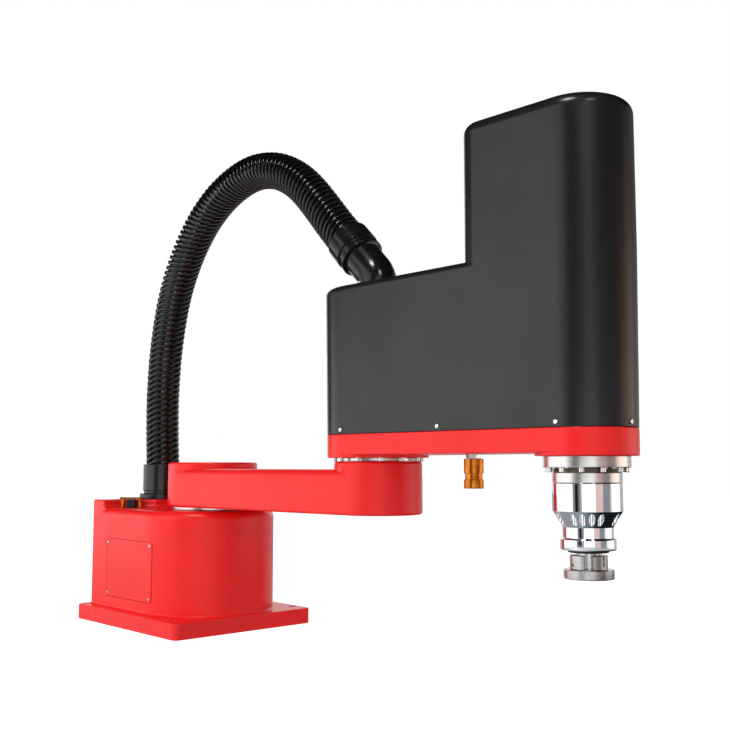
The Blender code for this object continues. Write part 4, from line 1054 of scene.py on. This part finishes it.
# What the gloss mirrors, all in metres: bands of cards on a drum about the quill. A band has its
# two heights and its cards. A card has the direction where it starts, in degrees from +X, and its
# colour and level at the lower height, then at the upper one where they differ.
cardLook = {
    "radius": 2.3, "lastEnd": 118, "cardStep": 6, "domeFrom": 24, "domeTo": 89, "domeRadius": 2.9,
    "domeMiddle": 0.35, "boxMiddle": 0.45, "boxReach": 2.0, "poolHeight": -0.055, "poolCore": 0.05,
    "lowCards": (-0.4, 0.24, (
        (-170, "ffffff", 1.3, "ffffff", 1.5), (-103, "8c8c90"), (-95, "1c1a1d"), (-86, "6d6d72"),
        (-80, "b0b4b8"), (-73, "ffffff", 1.5), (-29, "f0d2ca"), (-4, "96989e"), (22, "d8d8d8"),
        (28, "fffffa", 1.5), (72, "c6c4c6"),
    )),
    "middleCards": (0.24, 1.0, (
        (-194, "101112"), (-172, "ffffff", 1.45, "ffffff", 0.02), (-138, "ffffff", 1.55, "ffffff", 1.22),
        (-106, "ffffff", 0.75, "ffffff", 0.7), (-90, "0c0c0d", 1.0, "0a0a0b"),
        (-62, "ffffff", 0.55, "ffffff", 0.12),
        (-52, "ffffff", 1.05, "ffffff", 0.38), (-31, "ffffff", 0.5, "ffffff", 0.12),
        (-20, "a87e7e", 1.1, "3c302c"), (28, "ffb48c", 1.6, "5c4034"), (44, "ffd8c0", 1.9, "ffd8c0", 0.5),
        (70, "f0e8e6", 0.6, "d0ccca", 0.3),
    )),
    "topCards": (1.0, 1.62, (
        (-194, "101112"), (-138, "ffffff", 1.22, "ffffff", 0.78), (-102, "ffccd6", 0.8, "ffccd6", 1.5),
        (-89, "0a0a0b"), (-62, "ffffff", 0.12, "ffffff", 0.6), (-52, "ffffff", 0.38, "ffffff", 1.5),
        (-31, "ffffff", 0.12, "ffffff", 0.5), (-20, "3c302c", 1.0, "0a0a0b"), (28, "5c4034", 1.0, "0a0a0b"),
        (44, "ffd8c0", 0.4, "0a0a0b"), (70, "d0ccca", 0.3, "b0b0b0", 0.4),
    )),
    "boxes": (((0.04, -0.56, 0.83), 0.42, 26.0), ((0.67, -0.37, 0.65), 0.34, 12.0)),
    "pool": (  # direction, colour, reach
        (-180, "9a9ea8", 0.34), (-90, "959fa4", 0.34), (-60, "72808e", 0.4), (-30, "3c5a5e", 0.9),
        (0, "181e22", 1.8), (100, "181e22", 1.8), (130, "5c6066", 0.4), (180, "9a9ea8", 0.34),
    ),
}


def toneOf(hexColour, level=1.0):
    return (*[level * channel for channel in toLinear(hexColour)[:3]], 1.0)


def glowFromTone():
    material, add = emptied(bpy.data.materials.new("studioCard"))
    tone = add("ShaderNodeAttribute", {"attribute_name": "tone"})
    light = add("ShaderNodeEmission", {"Color": tone})
    add("ShaderNodeOutputMaterial", {0: light})
    return material


cardGlow = glowFromTone()


def tonedPiece(name, points, faces, tones):
    mesh = bpy.data.meshes.new(name)
    mesh.from_pydata([tuple(point) for point in points], [], faces)
    tone = mesh.attributes.new("tone", "FLOAT_COLOR", "POINT")
    for item, value in zip(tone.data, tones):
        item.color = value
    card = addObject(name, mesh)
    mesh.materials.append(cardGlow)
    card.visible_camera = card.visible_diffuse = card.visible_shadow = False
    card.visible_transmission = card.visible_volume_scatter = False


def onDrum(degrees, height, radius):
    return roundPoint(quillX * mm, radius, math.radians(degrees), height)


def makeDrum(name, look):
    low, high, strips = look[name]
    ends = [strip[0] for strip in strips[1:]] + [look["lastEnd"]]
    points, faces, tones = [], [], []
    for (start, *strip), end in zip(strips, ends):
        count = max(1, round((end - start) / look["cardStep"]))
        first = len(points)
        for step in range(count + 1):
            angle = start + (end - start) * step / count
            points += [onDrum(angle, low, look["radius"]), onDrum(angle, high, look["radius"])]
            tones += [toneOf(*strip[:2]), toneOf(*(strip[2:] or strip[:2]))]
        for corner in range(first, first + 2 * count, 2):
            faces.append((corner, corner + 2, corner + 3, corner + 1))
    tonedPiece(name, points, faces, tones)


def makeDome(look):
    points, rows, columns = [], 8, 48
    for row in range(rows + 1):
        rise = math.radians(look["domeFrom"] + (look["domeTo"] - look["domeFrom"]) * row / rows)
        height = look["domeMiddle"] + look["domeRadius"] * math.sin(rise)
        flat = look["domeRadius"] * math.cos(rise)
        points += [onDrum(360 * column / columns, height, flat) for column in range(columns)]
    faces = ringFaces(rows + 1, columns) + endFaces(len(points), columns)[1:]
    tonedPiece("darkDome", points, faces, [toneOf("0a0b0c")] * len(points))


def makeBoxes(look):
    for index, (way, side, level) in enumerate(look["boxes"]):
        way = Vector(way).normalized()
        middle = Vector((quillX * mm, 0, look["boxMiddle"])) + way * look["boxReach"]
        across = way.cross(Vector((0, 0, 1))).normalized() * side / 2
        rise = across.cross(way).normalized() * side / 2
        corners = [middle + across * x + rise * y for x, y in boxCorners(-1, 1, 1)]
        tonedPiece("softBox%d" % index, corners, [(0, 1, 2, 3)], [toneOf("ffffff", level)] * 4)


def makePool(look):
    points, tones, count = [], [], 48
    marks = look["pool"]
    for step in range(count):
        degrees = -180 + 360 * step / count
        later = next(index for index, mark in enumerate(marks) if mark[0] > degrees)
        (start, startHex, startReach), (end, endHex, endReach) = marks[later - 1], marks[later]
        share = (degrees - start) / (end - start)
        mixed = tuple(Vector(toneOf(startHex)).lerp(Vector(toneOf(endHex)), share))
        for reach in (look["poolCore"], startReach + (endReach - startReach) * share):
            points.append(onDrum(degrees, look["poolHeight"], reach))
            tones.append(mixed)
    faces = []
    for step in range(count):
        inner, after = 2 * step, 2 * ((step + 1) % count)
        faces.append((inner, inner + 1, after + 1, after))
    faces.append(tuple(range(0, 2 * count, 2)))
    tonedPiece("tonedPool", points, faces, tones)


makeStage(stageLook)
for band in ("lowCards", "middleCards", "topCards"):
    makeDrum(band, cardLook)
makeDome(cardLook)
makeBoxes(cardLook)
makePool(cardLook)
bpy.context.scene.view_settings.view_transform = "Standard"
print("stage set")
